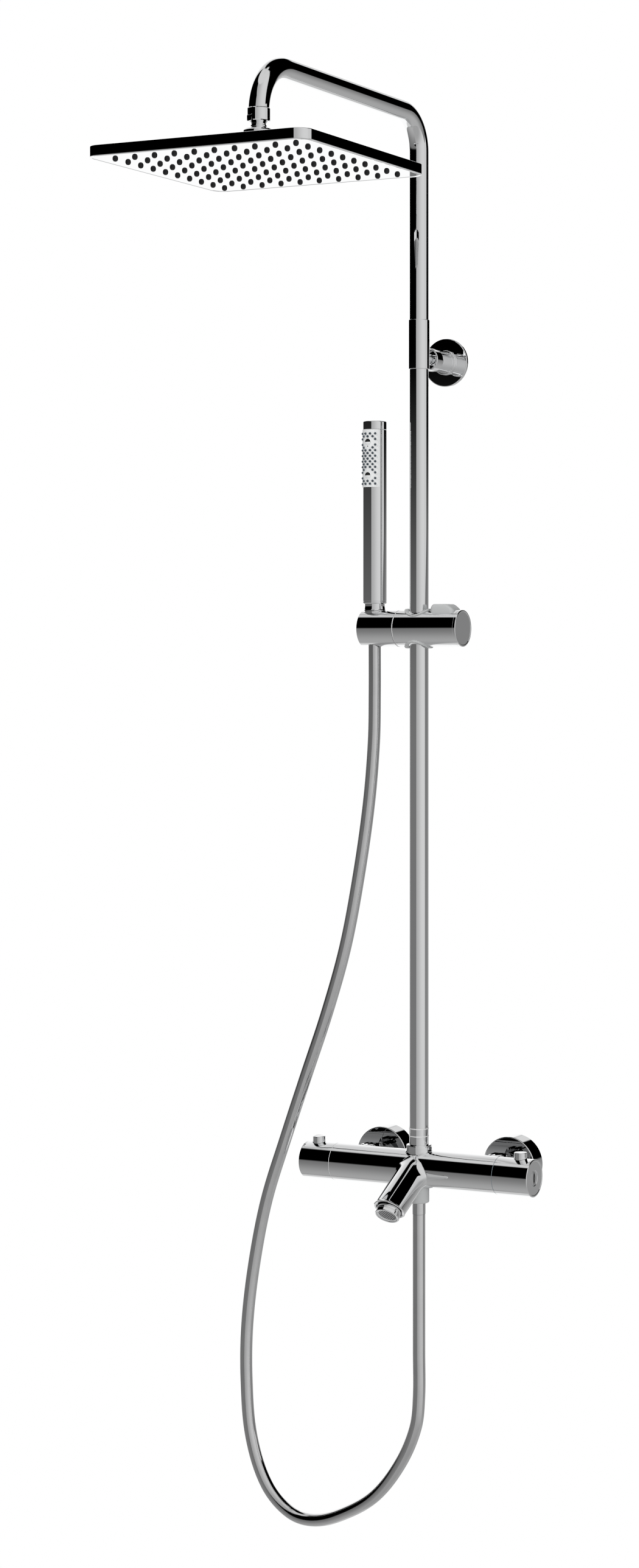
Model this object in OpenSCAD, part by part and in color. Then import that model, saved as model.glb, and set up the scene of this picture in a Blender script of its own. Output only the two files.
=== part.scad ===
// Wall-mounted rainfall shower column: bar mixer with bath spout, riser, tilting rain head,
// sliding holder, stick hand shower and hose. Millimetres. X runs right along the wall,
// Y goes into the wall, Z is up. The origin is on the wall, midway between the two inlets.

/* [Wall connection] */
// Distance between the two wall inlets
inlet_spacing = 150; // [140:1:160]
// Distance from the wall to the mixer and riser axis
axis_offset = 78; // [65:0.5:95]
// Radius of the round wall flanges
flange_r = 29.5; // [25:0.5:36]
// Depth of the wall flanges
flange_depth = 20.7; // [12:0.1:25]
// Outside radius of the inlet thread
thread_r = 10.48; // [10.2:0.01:10.8]

/* [Mixer] */
// Radius of the mixer barrel
barrel_r = 19.2; // [17:0.1:23]
// Half length of the mixer over both knobs
mixer_half = 132.4; // [120:0.1:150]
// Seam between the barrel and the flow knob
flow_seam = 96.4; // [90:0.1:104]
// Seam between the barrel and the temperature knob
temperature_seam = 92.8; // [88:0.1:102]
// Height of the buttons above the mixer axis
button_top = 25.3; // [23:0.1:28]

/* [Spout] */
// Radius of the bath spout
spout_r = 16; // [13:0.1:18]
// Slope of the spout below the horizontal
spout_slope = 28.5; // [20:0.5:50]
// Length of the spout along its axis
spout_length = 73.5; // [60:0.5:110]

/* [Riser and arm] */
// Radius of the riser and the shower arm
tube_r = 10; // [9:0.1:12.5]
// Height of the arm above the mixer
arm_z = 1086.75; // [900:0.25:1200]
// Reach of the head's centre from the wall
head_reach = 400; // [300:1:480]
// Height of the wall bracket above the mixer
bracket_z = 837.2; // [700:0.1:900]
// Bend radius at the top of the riser
rear_bend = 37.5; // [30:0.5:50]
// Bend radius above the head
front_bend = 50; // [35:0.5:60]

/* [Rain head] */
// Side length of the square head
head_side = 234; // [200:1:300]
// Radius of the head's corners
head_corner = 14; // [6:1:30]
// Top face of the head plate
head_top = 996.9; // [900:0.1:1010]
// Distance between neighbouring nozzles
nozzle_pitch = 21.27; // [18:0.01:24]

/* [Hand shower] */
// Height of the slider on the riser
slider_z = 557.5; // [300:0.5:700]
// Radius of the slider
slider_r = 18.95; // [16:0.05:22]
// Sideways distance from the riser to the hand shower
hand_x = 52; // [45:0.5:60]
// Radius of the hand shower
hand_r = 12.5; // [11:0.1:16]
// Radius of the hose
hose_r = 6.6; // [5.5:0.1:8]

/* [Hidden] */
$fn = 64;
ax = -axis_offset;
wall_r = 8.5;             // inside radius of the riser tubes
seam = 0.3;
join_z = 850.5;           // where the two riser tubes meet inside the sleeve
ball_z = 1032;
ball_r = 8.6;
cap_z = 764.3;
hand_top = 773;
neck_z = 583.3;
plate_z = [704.3, 764.3];
face_turn = -95.6;        // direction the spray face looks, about Z
row_pitch = 2.89;
row_top = 759.8;

// angles of the nozzles in each row of the hand shower, from the top
four = [-36.6, -12.2, 12.2, 36.6];
three = [-24.4, 0, 24.4];
outer = [-36.6, 36.6];
inner = [-24.4, 24.4];
rows = [four, three, outer, [], outer, inner, four, three, four, three, four, three, four,
        inner, outer, [], outer, three, four];
massage_rows = [3, 15];

// centre line of the hose in the plane of the riser axis, from the hand shower to the outlet
route = [[-52, 575], [-52, 540], [-52, 490], [-53, 440], [-59, 375], [-71, 300], [-87, 225],
         [-109, 155], [-134, 88], [-159, 20], [-182, -46], [-197, -113], [-206, -180],
         [-207, -240], [-201, -300], [-182, -349], [-153, -375], [-122, -379], [-85, -366],
         [-50, -343], [-21, -306], [-4, -268], [0, -235], [0, -190], [0, -140], [0, -90],
         [0, -47]];

module on_axis() translate([0, ax, 0]) children();
module along_x(x0, x1, r) translate([x0, 0, 0]) rotate([0, 90, 0]) cylinder(r = r, h = x1 - x0);
module cone_x(x0, x1, r0, r1)
    translate([x0, 0, 0]) rotate([0, 90, 0]) cylinder(r1 = r0, r2 = r1, h = x1 - x0);
module along_y(y0, y1, r) translate([0, y0, 0]) rotate([-90, 0, 0]) cylinder(r = r, h = y1 - y0);
module cone_y(y0, y1, r0, r1)
    translate([0, y0, 0]) rotate([-90, 0, 0]) cylinder(r1 = r0, r2 = r1, h = y1 - y0);
module along_z(z0, z1, r) translate([0, 0, z0]) cylinder(r = r, h = z1 - z0);
module cone_z(z0, z1, r0, r1) translate([0, 0, z0]) cylinder(r1 = r0, r2 = r1, h = z1 - z0);
module pipe_z(z0, z1, r, bore) difference() { along_z(z0, z1, r); along_z(z0 - 1, z1 + 1, bore); }
module slab(side, corner, z0, z1) translate([0, 0, z0]) {
    translate([-side / 2 + corner, -side / 2, 0]) cube([side - 2 * corner, side, z1 - z0]);
    translate([-side / 2, -side / 2 + corner, 0]) cube([side, side - 2 * corner, z1 - z0]);
    for (i = [-1, 1], j = [-1, 1])
        translate([i * (side / 2 - corner), j * (side / 2 - corner), 0])
            cylinder(r = corner, h = z1 - z0);
}

// Mixer barrel with its water ways and inlet stubs
module mixer_body() color("silver") on_axis() difference() {
    union() {
        along_x(-flow_seam + seam, temperature_seam - seam, barrel_r);
        for (s = [-1, 1]) translate([s * inlet_spacing / 2, 0, 0]) {
            along_y(0, 28, 10);
            along_y(28, 31, 11.4);
        }
    }
    along_x(-flow_seam - 1, -38, 14);
    along_x(34, temperature_seam + 1, 14);
    along_x(-39, 35, 7);
    for (s = [-1, 1]) translate([s * inlet_spacing / 2, 0, 0]) along_y(0, 32, 7.5);
    along_z(0, barrel_r + 1, wall_r);
    along_z(-barrel_r - 1, 0, 8);
    along_y(-barrel_r - 1, 0, 7);
}
module left_seam_ring() color("gainsboro") on_axis() difference() {
    along_x(-flow_seam - seam, -flow_seam + seam, barrel_r - 0.25);
    along_x(-flow_seam - 1, -flow_seam + 1, 14.2);
}
module right_seam_ring() color("slategray") on_axis() difference() {
    along_x(temperature_seam - seam, temperature_seam + seam, barrel_r - 0.25);
    along_x(temperature_seam - 1, temperature_seam + 1, 14.2);
}
module flow_cartridge() color("tan") on_axis() difference() {
    union() { along_x(-96, -50, 13.95); along_x(-106, -96, 13.95); }
    along_x(-107, -64, 5.06);
    along_x(-64, -49, 8);
}
module thermostatic_cartridge() color("tan") on_axis() difference() {
    along_x(44, 104, 13.95);
    along_x(60, 105, 5.06);
    along_x(43, 60, 8);
}

// Inlets: threaded unions, nuts, seals, filters and cover flanges
module wall_union(x) translate([x, 0, 0]) difference() {
    union() {
        along_y(0, 14, thread_r);
        along_y(-34, 0, 12.5);
        along_y(-46, -34, 11.4);
    }
    along_y(-47, 15, 7.5);
}
module left_wall_union() color("goldenrod") wall_union(-inlet_spacing / 2);
module right_wall_union() color("goldenrod") wall_union(inlet_spacing / 2);
module union_nuts() color("silver") for (s = [-1, 1]) translate([s * inlet_spacing / 2, 0, 0])
    difference() {
        translate([0, -52, 0]) rotate([-90, 30, 0]) cylinder(r = 17.32, h = 18, $fn = 6);
        along_y(-53, -49, 10.05);
        along_y(-50, -33, 11.45);
    }
module filter_washers() color("dimgray") for (s = [-1, 1])
    translate([s * inlet_spacing / 2, 0, 0]) difference() {
        along_y(-47, -46, 11.2);
        for (a = [0 : 60 : 300]) rotate([0, a, 0]) translate([4.6, 0, 0]) along_y(-48, -45, 1.4);
        along_y(-48, -45, 1.6);
    }
module wall_flange(x) translate([x, 0, 0]) difference() {
    union() {
        along_y(-flange_depth + 1, 0, flange_r);
        cone_y(-flange_depth, -flange_depth + 1, flange_r - 1, flange_r);
    }
    along_y(-flange_depth + 3, 1, flange_r - 2);
    along_y(-flange_depth - 1, 0, 12.6);
}
module left_wall_flange() color("silver") wall_flange(-inlet_spacing / 2);
module right_wall_flange() color("silver") wall_flange(inlet_spacing / 2);

// Spout, cut to a face that looks further down than the spout runs
spout_root = [0, 0, 3.6];
end_turn = 49;            // slope of the spout's open end below the horizontal
module spout_frame() on_axis() translate(spout_root) rotate([90 + spout_slope, 0, 0]) children();
module end_frame() spout_frame() translate([0, 0, spout_length]) rotate([end_turn - spout_slope, 0, 0])
    children();
module spout() color("silver") difference() {
    union() {
        spout_frame() cylinder(r = spout_r, h = spout_length + 6);
        intersection() {
            spout_frame() cylinder(r1 = spout_r + 4.5, r2 = spout_r, h = 20);
            on_axis() translate([-40, -60, 0]) cube([80, 60, 40]);
        }
    }
    spout_frame() translate([0, 0, 26]) cylinder(r = spout_r - 3.2, h = spout_length);
    end_frame() translate([-40, -40, -3]) cube([80, 80, 40]);
    on_axis() along_x(-40, 40, barrel_r);
    on_axis() translate([-40, 0, -60]) cube([80, 60, 120]);
    on_axis() along_z(barrel_r - 6, 40, 13.05);
    on_axis() along_z(-50, -11.9, 10.75);
    on_axis() along_y(-45, 0, 6);
    end_frame() translate([0, 0, -4.1]) cylinder(r = 12.85, h = 6);
}
module spout_rim() color("silver") end_frame() difference() {
    translate([0, 0, -3]) cylinder(r = spout_r + 0.1, h = 3);
    translate([0, 0, -4]) cylinder(r = 12.85, h = 5);
}
module aerator_housing() color("silver") end_frame() difference() {
    translate([0, 0, -4]) cylinder(r = 12.8, h = 12);
    translate([0, 0, -5]) cylinder(r = 11, h = 14);
}
module aerator_mesh() color("gray") end_frame() difference() {
    translate([0, 0, -4]) cylinder(r = 11, h = 10.4);
    for (i = [-4 : 4], j = [-4 : 4]) if (i * i + j * j < 17)
        translate([i * 2.2, j * 2.2, 5]) cylinder(r = 0.8, h = 3, $fn = 6);
    translate([0, 0, -5]) cylinder(r = 9, h = 9);
}

// Riser foot and tubes
module riser_collar() color("silver") on_axis() difference() {
    union() {
        along_z(10, 24.2, 13);
        cone_z(24.2, 25, 13, 12.2);
    }
    along_z(0, 30, tube_r);
    along_x(-20, 20, barrel_r);
    translate([0, 0, 22]) along_x(0, 20, 1.6);
}
module collar_screw() color("dimgray") on_axis() translate([0, 0, 22]) difference() {
    along_x(10, 13.6, 1.6);
    along_x(12.4, 14, 0.8);
}
module riser_spigot() color("goldenrod") on_axis() pipe_z(10, 60, wall_r, 6.5);
module riser_foot() color("silver") on_axis() pipe_z(20, 33.8, tube_r, wall_r);
module riser_ring() color("gainsboro") on_axis() pipe_z(34.1, 41.5, tube_r, wall_r);
module lower_riser() color("silver") on_axis() pipe_z(41.8, join_z, tube_r, wall_r);
module coupler_sleeve() color("silver") on_axis() difference() {
    union() {
        along_z(825.6, 875.4, 11.05);
        cone_z(825, 825.6, 10.5, 11.05);
        cone_z(875.4, 876, 11.05, 10.5);
    }
    along_z(820, 880, tube_r);
}

// Wall bracket
module at_bracket() translate([0, 0, bracket_z]) children();
module bracket_pin() color("silver") difference() {
    at_bracket() along_y(ax + 5, -49, 5.4);
    on_axis() along_z(800, 880, 11.05);
}
module bracket_cup() color("silver") at_bracket() difference() {
    along_y(-59, -46, 12);
    along_y(-60, -49, 10.4);
}
module bracket_stem() color("silver") at_bracket() difference() {
    along_y(-46, -14.9, 11.2);
    along_y(-38, -14, 7);
    translate([0, -33, 0]) along_z(0, 14, 1.6);
}
module bracket_ring() color("silver") at_bracket() difference() {
    union() {
        along_y(-21.1, -19.1, 12.6);
        cone_y(-19.1, -18.1, 12.6, 13);
    }
    along_y(-22, -18, 11.2);
}
module bracket_disc() color("silver") at_bracket() difference() {
    union() {
        along_y(-17.3, -14.9, 25.3);
        cone_y(-18.1, -17.3, 24.5, 25.3);
    }
    along_y(-19, -14, 11.2);
}
module bracket_spacer() color("lightgray") at_bracket() difference() {
    along_y(-14.9, 0, 17);
    for (s = [-1, 1]) translate([s * 11, 0, 0]) {
        along_y(-16, 1, 2.65);
        along_y(-16, -12, 4.1);
    }
}
module bracket_screws() color("gray") at_bracket() for (s = [-1, 1]) translate([s * 11, 0, 0]) {
    along_y(-13, 0, 2.6);
    along_y(-1, 25, 2);
    difference() {
        along_y(-14.6, -12, 4);
        along_y(-15, -13.4, 1.4);
    }
}

// Upper riser and arm in one bent tube, and the nut that holds the head's ball
module tube_bend(radius, start) rotate([90, 0, 90]) rotate([0, 0, start])
    rotate_extrude(angle = 90) translate([radius, 0]) difference() { circle(tube_r); circle(wall_r); }
module shower_arm() color("silver") {
    on_axis() pipe_z(join_z, arm_z - rear_bend, tube_r, wall_r);
    translate([0, ax - rear_bend, arm_z - rear_bend]) tube_bend(rear_bend, 0);
    translate([0, 0, arm_z]) difference() {
        along_y(-head_reach + front_bend, ax - rear_bend, tube_r);
        along_y(-head_reach + front_bend - 1, ax - rear_bend + 1, wall_r);
    }
    translate([0, -head_reach + front_bend, arm_z - front_bend]) tube_bend(front_bend, 90);
}
module arm_nut() color("silver") translate([0, -head_reach, 0]) difference() {
    along_z(1029, 1041.5, 10.9);
    along_z(1036.75, 1042, tube_r);
    along_z(1030.2, 1037, 9.6);
    cone_z(1028.9, 1030.3, 8.42, 8.54);
    for (a = [35, 215]) rotate([0, 0, a]) translate([10, -12, 1028]) cube([5, 24, 6]);
}

// Rain head on its ball joint
module ball_seat() color("white") translate([0, -head_reach, ball_z]) difference() {
    sphere(r = 9.4);
    sphere(r = ball_r + 0.08);
    translate([0, 0, -11]) cylinder(r = 12, h = 11.6);
    translate([0, 0, 4]) cylinder(r = 12, h = 11);
}
module head_ball() color("silver") translate([0, -head_reach, ball_z]) difference() {
    union() {
        sphere(r = ball_r);
        along_z(-20, -4.5, 7.1);
        along_z(-33.1, -12, 14.4);
        cone_z(-12, -10.6, 14.4, 13.4);
    }
    along_z(-40, 20, 4);
}
module head_plate() color("silver") translate([0, -head_reach, 0]) difference() {
    union() {
        slab(head_side, head_corner, 988.1, head_top);
        slab(head_side - 3, head_corner - 1.5, 986.3, 988.1);
        along_z(head_top, head_top + 2, 14.8);
    }
    slab(head_side - 7, head_corner - 3.5, 988, head_top - 1.4);
    along_z(980, 1000, 4);
    for (i = [-4.5 : 4.5], j = [-4.5 : 4.5])
        translate([i * nozzle_pitch, j * nozzle_pitch, 980]) cylinder(r = 2.35, h = 10);
}
module head_nozzles() color("dimgray") translate([0, -head_reach, 0]) {
    slab(head_side - 9, head_corner - 4.5, 988, 989.2);
    for (i = [-4.5 : 4.5], j = [-4.5 : 4.5]) translate([i * nozzle_pitch, j * nozzle_pitch, 0])
        difference() {
            along_z(984, 989.2, 2.3);
            along_z(983, 988, 0.6);
        }
}

// Hose outlet below the barrel
module hose_nut() color("gray") on_axis() difference() {
    union() {
        along_z(-34, -12, 10.7);
        cone_z(-34.8, -34, 9.9, 10.7);
    }
    along_x(-20, 20, barrel_r);
    along_z(-40, 0, 6.9);
}
module hose_ferrule() color("silver") on_axis() pipe_z(-47, -30, 6.9, 4.5);

// Hose: a round tube swept through the route
function dir(i) = let (a = route[max(i - 1, 0)], b = route[min(i + 1, len(route) - 1)]) b - a;
function knot_gap(i) = norm(route[i + 1] - route[i]);
function slope(i) = dir(i) / norm(dir(i));
function curve(i, t) = let (g = knot_gap(i), a = route[i], b = route[i + 1],
        h = 3 * t * t - 2 * t * t * t)
    a * (1 - h) + b * h + g * slope(i) * (t - 2 * t * t + t * t * t)
    + g * slope(i + 1) * (t * t * t - t * t);
steps = 3;
line = [for (i = [0 : len(route) - 2], k = [0 : steps - 1]) curve(i, k / steps), route[len(route) - 1]];
count = len(line);
function along(k) = let (d = line[min(k + 1, count - 1)] - line[max(k - 1, 0)]) d / norm(d);
sides = 10;
hose_points = [for (k = [0 : count - 1], s = [0 : sides - 1])
    let (d = k == 0 ? [0, -1] : k == count - 1 ? [0, 1] : along(k), a = s * 360 / sides)
    [line[k][0] + hose_r * cos(a) * d[1], ax + hose_r * sin(a), line[k][1] - hose_r * cos(a) * d[0]]];
hose_faces = concat(
    [[for (s = [0 : sides - 1]) s]],
    [for (k = [0 : count - 2], s = [0 : sides - 1]) let (n = (s + 1) % sides)
        [k * sides + n, k * sides + s, (k + 1) * sides + s, (k + 1) * sides + n]],
    [[for (s = [sides - 1 : -1 : 0]) (count - 1) * sides + s]]);
module hose() color("lightgray") polyhedron(hose_points, hose_faces, convexity = 10);

// Flow knob, turned on a stop by its push button
module knob_shell(end, skirt) difference() {
    along_x(0, end - 3, barrel_r);
    along_x(-1, skirt, 15.5);
    along_x(0, end - 8, 5);
}
module flow_knob() color("silver") on_axis() difference() {
    translate([-flow_seam - 2 * seam, 0, 0]) mirror([1, 0, 0])
        knob_shell(mixer_half - flow_seam - 2 * seam, 11);
    translate([-118.3, 0, 0]) along_z(8, 30, 7.3);
}
module flow_cap() color("silver") on_axis() mirror([1, 0, 0]) {
    along_x(mixer_half - 3, mixer_half - 1, barrel_r);
    cone_x(mixer_half - 1, mixer_half, barrel_r, barrel_r - 1);
}
module flow_spindle() color("goldenrod") on_axis() along_x(-120, -66, 5);
module push_button() {
    along_z(13, button_top - 1, 7);
    cone_z(button_top - 1, button_top, 7, 6.2);
}
module flow_button() color("silver") on_axis() translate([-118.3, 0, 0]) push_button();

// Temperature knob with its safety button
module temperature_knob() color("silver") on_axis() difference() {
    translate([temperature_seam + 2 * seam, 0, 0])
        knob_shell(mixer_half - temperature_seam - 2 * seam, 12);
    translate([116.6, 0, 0]) along_z(8, 30, 7.3);
}
module temperature_cap() color("silver") on_axis() difference() {
    union() {
        along_x(mixer_half - 3, mixer_half - 1, barrel_r);
        cone_x(mixer_half - 1, mixer_half, barrel_r, barrel_r - 1);
    }
    difference() {
        along_x(mixer_half - 0.8, mixer_half + 1, 8);
        along_x(mixer_half - 1, mixer_half + 2, 6.6);
    }
    translate([mixer_half - 0.8, -4, -1]) cube([2, 8, 2]);
}
module temperature_spindle() color("goldenrod") on_axis() along_x(62, 120, 5);
module temperature_button() color("silver") on_axis() translate([116.6, 0, 0]) push_button();

// Slider with its clamp, release lever and tilting holder
module at_slider() translate([0, ax, slider_z]) children();
module slider_clamp() color("silver") at_slider() difference() {
    along_x(-21.4, 48.4, slider_r);
    along_z(-30, 30, 13.5);
    lever_plan(0.1, 12.1, 30);
    along_x(-22, -16, 5);
}
module slider_bush() color("dimgray") at_slider() pipe_z(-19.9, 20.5, 13.5, tube_r + 0.06);
module slider_ring() color("gray") at_slider() difference() {
    along_x(-22.2, -21.4, slider_r - 0.4);
    along_x(-23, -21, 5);
}
module slider_cap() color("silver") at_slider() {
    along_x(48.4, 50.4, slider_r);
    cone_x(50.4, 51.4, slider_r, slider_r - 1);
}
module slider_bolt() color("gray") at_slider() along_x(-38, -16, 5);
module lever_plan(grow, z0, z1) {
    translate([22, -10.7 - grow, z0]) cube([18, 21.4 + 2 * grow, z1 - z0]);
    translate([17.7 - grow, -6.4, z0]) cube([26.6 + 2 * grow, 12.8, z1 - z0]);
    for (x = [22, 40], y = [-6.4, 6.4])
        translate([x, y, z0]) cylinder(r = 4.3 + grow, h = z1 - z0);
}
module slider_lever() color("gray") at_slider() difference() {
    lever_plan(0, 14, 25);
    translate([38.5, -15, 25]) rotate([0, 42, 0]) cube([14, 30, 8]);
    translate([20.5, -15, 25]) rotate([0, -135, 0]) cube([8, 30, 14]);
}
module slider_holder() color("silver") at_slider() difference() {
    along_x(-63.4, -22.5, slider_r);
    translate([-hand_x, 0, 0]) cone_z(-20, 20, 9.5, 11);
    translate([-70, -7, -30]) cube([18, 14, 60]);
    along_x(-39, -20, 5.06);
}

// Hand shower
module at_hand() translate([-hand_x, ax, 0]) children();
module face_sector(r0, r1, z0, z1, half) translate([0, 0, z0]) rotate([0, 0, face_turn - half])
    rotate_extrude(angle = 2 * half) translate([r0, 0]) square([r1 - r0, z1 - z0]);
module row_places(list) for (i = [0 : len(rows) - 1]) for (a = rows[i])
    translate([0, 0, row_top - i * row_pitch]) rotate([0, 0, face_turn + a]) rotate([0, 90, 0])
        children();
module massage_places() for (i = massage_rows)
    translate([0, 0, row_top - i * row_pitch]) rotate([0, 0, face_turn]) rotate([0, 90, 0])
        children();
module handset_body() color("silver") at_hand() difference() {
    along_z(neck_z, cap_z, hand_r);
    along_z(neck_z + 3, cap_z + 1, 9.6);
    face_sector(8, 14, plate_z[0], plate_z[1] + 1, 62);
    along_z(neck_z - 1, neck_z + 4, 6);
}
module handset_cap() color("silver") at_hand() {
    along_z(cap_z, hand_top - 1, hand_r);
    cone_z(hand_top - 1, hand_top, hand_r, hand_r - 1);
}
module spray_face() color("white") at_hand() difference() {
    face_sector(11.2, hand_r, plate_z[0], plate_z[1], 61.5);
    row_places() translate([0, 0, 10]) cylinder(r = 1.3, h = 5);
    massage_places() translate([0, 0, 10]) cylinder(r = 2.85, h = 5);
}
module spray_nozzles() color("slategray") at_hand() {
    difference() {
        face_sector(9.9, 11.2, plate_z[0], plate_z[1], 61);
        massage_places() translate([0, 0, 9]) cylinder(r = 2.85, h = 5);
    }
    row_places() translate([0, 0, 10.4]) cylinder(r = 1.25, h = 2.9);
}
module massage_nozzles() color("slategray") at_hand() massage_places() translate([0, 0, 9.9])
    difference() {
        cylinder(r = 2.8, h = 3.2);
        translate([0, 0, 2]) cylinder(r = 1.5, h = 2);
    }
module handset_neck() color("silver") at_hand() difference() {
    union() { along_z(575.5, neck_z, 10.6); along_z(579, 580.5, 11.2); }
    along_z(570, 590, 6);
}
module hose_cone() color("silver") at_hand() difference() {
    cone_z(548, 575.5, 9.5, 10.5);
    along_z(540, 575, 7.4);
    along_z(574, 580, 6);
}

mixer_body();
left_seam_ring();
right_seam_ring();
flow_cartridge();
thermostatic_cartridge();
left_wall_union();
right_wall_union();
union_nuts();
filter_washers();
left_wall_flange();
right_wall_flange();
spout();
spout_rim();
aerator_housing();
aerator_mesh();
riser_collar();
collar_screw();
riser_spigot();
riser_foot();
riser_ring();
lower_riser();
coupler_sleeve();
bracket_pin();
bracket_cup();
bracket_stem();
bracket_ring();
bracket_disc();
bracket_spacer();
bracket_screws();
shower_arm();
arm_nut();
hose_nut();
hose_ferrule();
hose();
flow_knob();
flow_cap();
flow_spindle();
flow_button();
temperature_knob();
temperature_cap();
temperature_spindle();
temperature_button();
slider_clamp();
slider_bush();
slider_ring();
slider_cap();
slider_bolt();
slider_lever();
slider_holder();
handset_body();
handset_cap();
spray_face();
spray_nozzles();
massage_nozzles();
handset_neck();
hose_cone();
ball_seat();
head_ball();
head_plate();
head_nozzles();
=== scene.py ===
"""Wall-mounted rainfall shower column: surfaces, finishes, studio and camera round the frame."""

import logging
from dataclasses import dataclass, field
from enum import Enum
from typing import Iterable, Sequence

import bmesh
import bpy
import numpy as np
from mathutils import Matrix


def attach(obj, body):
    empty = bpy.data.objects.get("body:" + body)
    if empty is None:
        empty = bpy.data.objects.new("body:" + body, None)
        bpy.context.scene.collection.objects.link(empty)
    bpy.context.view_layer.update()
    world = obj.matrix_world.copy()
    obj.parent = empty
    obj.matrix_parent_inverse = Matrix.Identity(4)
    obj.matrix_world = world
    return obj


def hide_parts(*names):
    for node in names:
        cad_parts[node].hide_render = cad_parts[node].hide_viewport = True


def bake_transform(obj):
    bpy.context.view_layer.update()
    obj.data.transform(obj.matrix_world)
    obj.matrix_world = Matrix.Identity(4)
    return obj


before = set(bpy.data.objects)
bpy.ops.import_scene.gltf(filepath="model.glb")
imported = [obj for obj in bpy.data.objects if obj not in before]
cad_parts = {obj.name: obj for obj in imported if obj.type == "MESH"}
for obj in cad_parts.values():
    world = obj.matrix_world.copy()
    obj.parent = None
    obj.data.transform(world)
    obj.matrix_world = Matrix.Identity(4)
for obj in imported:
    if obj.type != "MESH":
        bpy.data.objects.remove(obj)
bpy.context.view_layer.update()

MM = 0.001
TURN = 2.0 * np.pi
AXIS_Y = -78.0            # wall to the axis of the mixer and the riser
HEAD_Y = -400.0          # wall to the middle of the rain head
SLIDER_Z = 557.5          # the holder's axis, at rest
HAND_X = -52.0            # riser to hand shower, to the left
FACE_TURN = np.radians(-95.6)   # the way the spray face looks, round the hand shower
BARREL = 19.2             # radius of the mixer's barrel
INLET = 75.0              # middle of the mixer to each wall inlet

log = logging.getLogger("shower")
logging.basicConfig(level=logging.INFO, format="%(message)s")

Vec = Sequence[float]
Socket = bpy.types.NodeSocket


class Body(str, Enum):
    """The moving groups that the pieces here ride on."""

    COLUMN = "column"
    FLOW = "flow_control"
    FLOW_PUSH = "flow_push"
    TEMPERATURE = "temperature_control"
    TEMPERATURE_PUSH = "temperature_push"
    SLIDER = "slider"
    RELEASE = "slider_release"
    HANDSET = "handset"
    HEAD = "head"


# ---------------------------------------------------------------- finishes


def noise(tree: bpy.types.NodeTree, scale: float, detail: float) -> bpy.types.Node:
    """A noise texture on object coordinates.

    Args:
        tree: the material's node tree.
        scale: cells to the metre.
        detail: octaves of finer noise.
    Returns:
        The noise node.
    """
    place = tree.nodes.new("ShaderNodeTexCoord")
    grain = tree.nodes.new("ShaderNodeTexNoise")
    grain.inputs["Scale"].default_value = scale
    grain.inputs["Detail"].default_value = detail
    tree.links.new(place.outputs["Object"], grain.inputs["Vector"])
    return grain


def spread(tree: bpy.types.NodeTree, source: Socket, low: float, high: float,
           start: float = 0.35, end: float = 0.65) -> Socket:
    """Stretches a value between start and end over the range low to high."""
    node = tree.nodes.new("ShaderNodeMapRange")
    node.inputs["From Min"].default_value = start
    node.inputs["From Max"].default_value = end
    node.inputs["To Min"].default_value = low
    node.inputs["To Max"].default_value = high
    tree.links.new(source, node.inputs["Value"])
    return node.outputs["Result"]


def bump(tree: bpy.types.NodeTree, source: Socket, shader: bpy.types.Node,
         strength: float, depth: float) -> None:
    """Raises the surface by a texture.

    Args:
        tree: the material's node tree.
        source: the height.
        shader: the shader whose normal it bends.
        strength: share of the bump that shows.
        depth: height in metres.
    """
    node = tree.nodes.new("ShaderNodeBump")
    node.inputs["Strength"].default_value = strength
    node.inputs["Distance"].default_value = depth
    tree.links.new(source, node.inputs["Height"])
    tree.links.new(node.outputs["Normal"], shader.inputs["Normal"])


@dataclass(frozen=True)
class Finish:
    """A surface finish: colour, gloss and the fine texture that breaks them up."""

    name: str
    slot: str
    colour: tuple[float, float, float]
    metallic: float = 0.0
    rough_low: float = 0.3
    rough_high: float = 0.4
    cloud_scale: float = 90.0
    grain_scale: float = 900.0
    grain_depth: float = 0.0
    grain_strength: float = 0.3
    shade: float = 0.0
    coat: float = 0.0

    def material(self) -> bpy.types.Material:
        """The material, made once.

        Returns:
            The material of this finish.
        """
        known = bpy.data.materials.get(self.name)
        if known:
            return known
        material = bpy.data.materials.new(self.name)
        material.use_nodes = True
        tree = material.node_tree
        shader = tree.nodes["Principled BSDF"]
        shader.inputs["Base Color"].default_value = (*self.colour, 1.0)
        shader.inputs["Metallic"].default_value = self.metallic
        shader.inputs["Coat Weight"].default_value = self.coat
        cloud = noise(tree, self.cloud_scale, 4.0)
        tree.links.new(spread(tree, cloud.outputs["Fac"], self.rough_low, self.rough_high),
                       shader.inputs["Roughness"])
        if self.shade:
            ramp = tree.nodes.new("ShaderNodeValToRGB")
            ramp.color_ramp.elements[0].color = (*(c * (1 - self.shade) for c in self.colour), 1)
            ramp.color_ramp.elements[1].color = (*self.colour, 1)
            ramp.color_ramp.elements[0].position = 0.35
            ramp.color_ramp.elements[1].position = 0.6
            tree.links.new(cloud.outputs["Fac"], ramp.inputs["Fac"])
            tree.links.new(ramp.outputs["Color"], shader.inputs["Base Color"])
        if self.grain_depth:
            grain = noise(tree, self.grain_scale, 2.0)
            bump(tree, grain.outputs["Fac"], shader, self.grain_strength, self.grain_depth)
        return material


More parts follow.
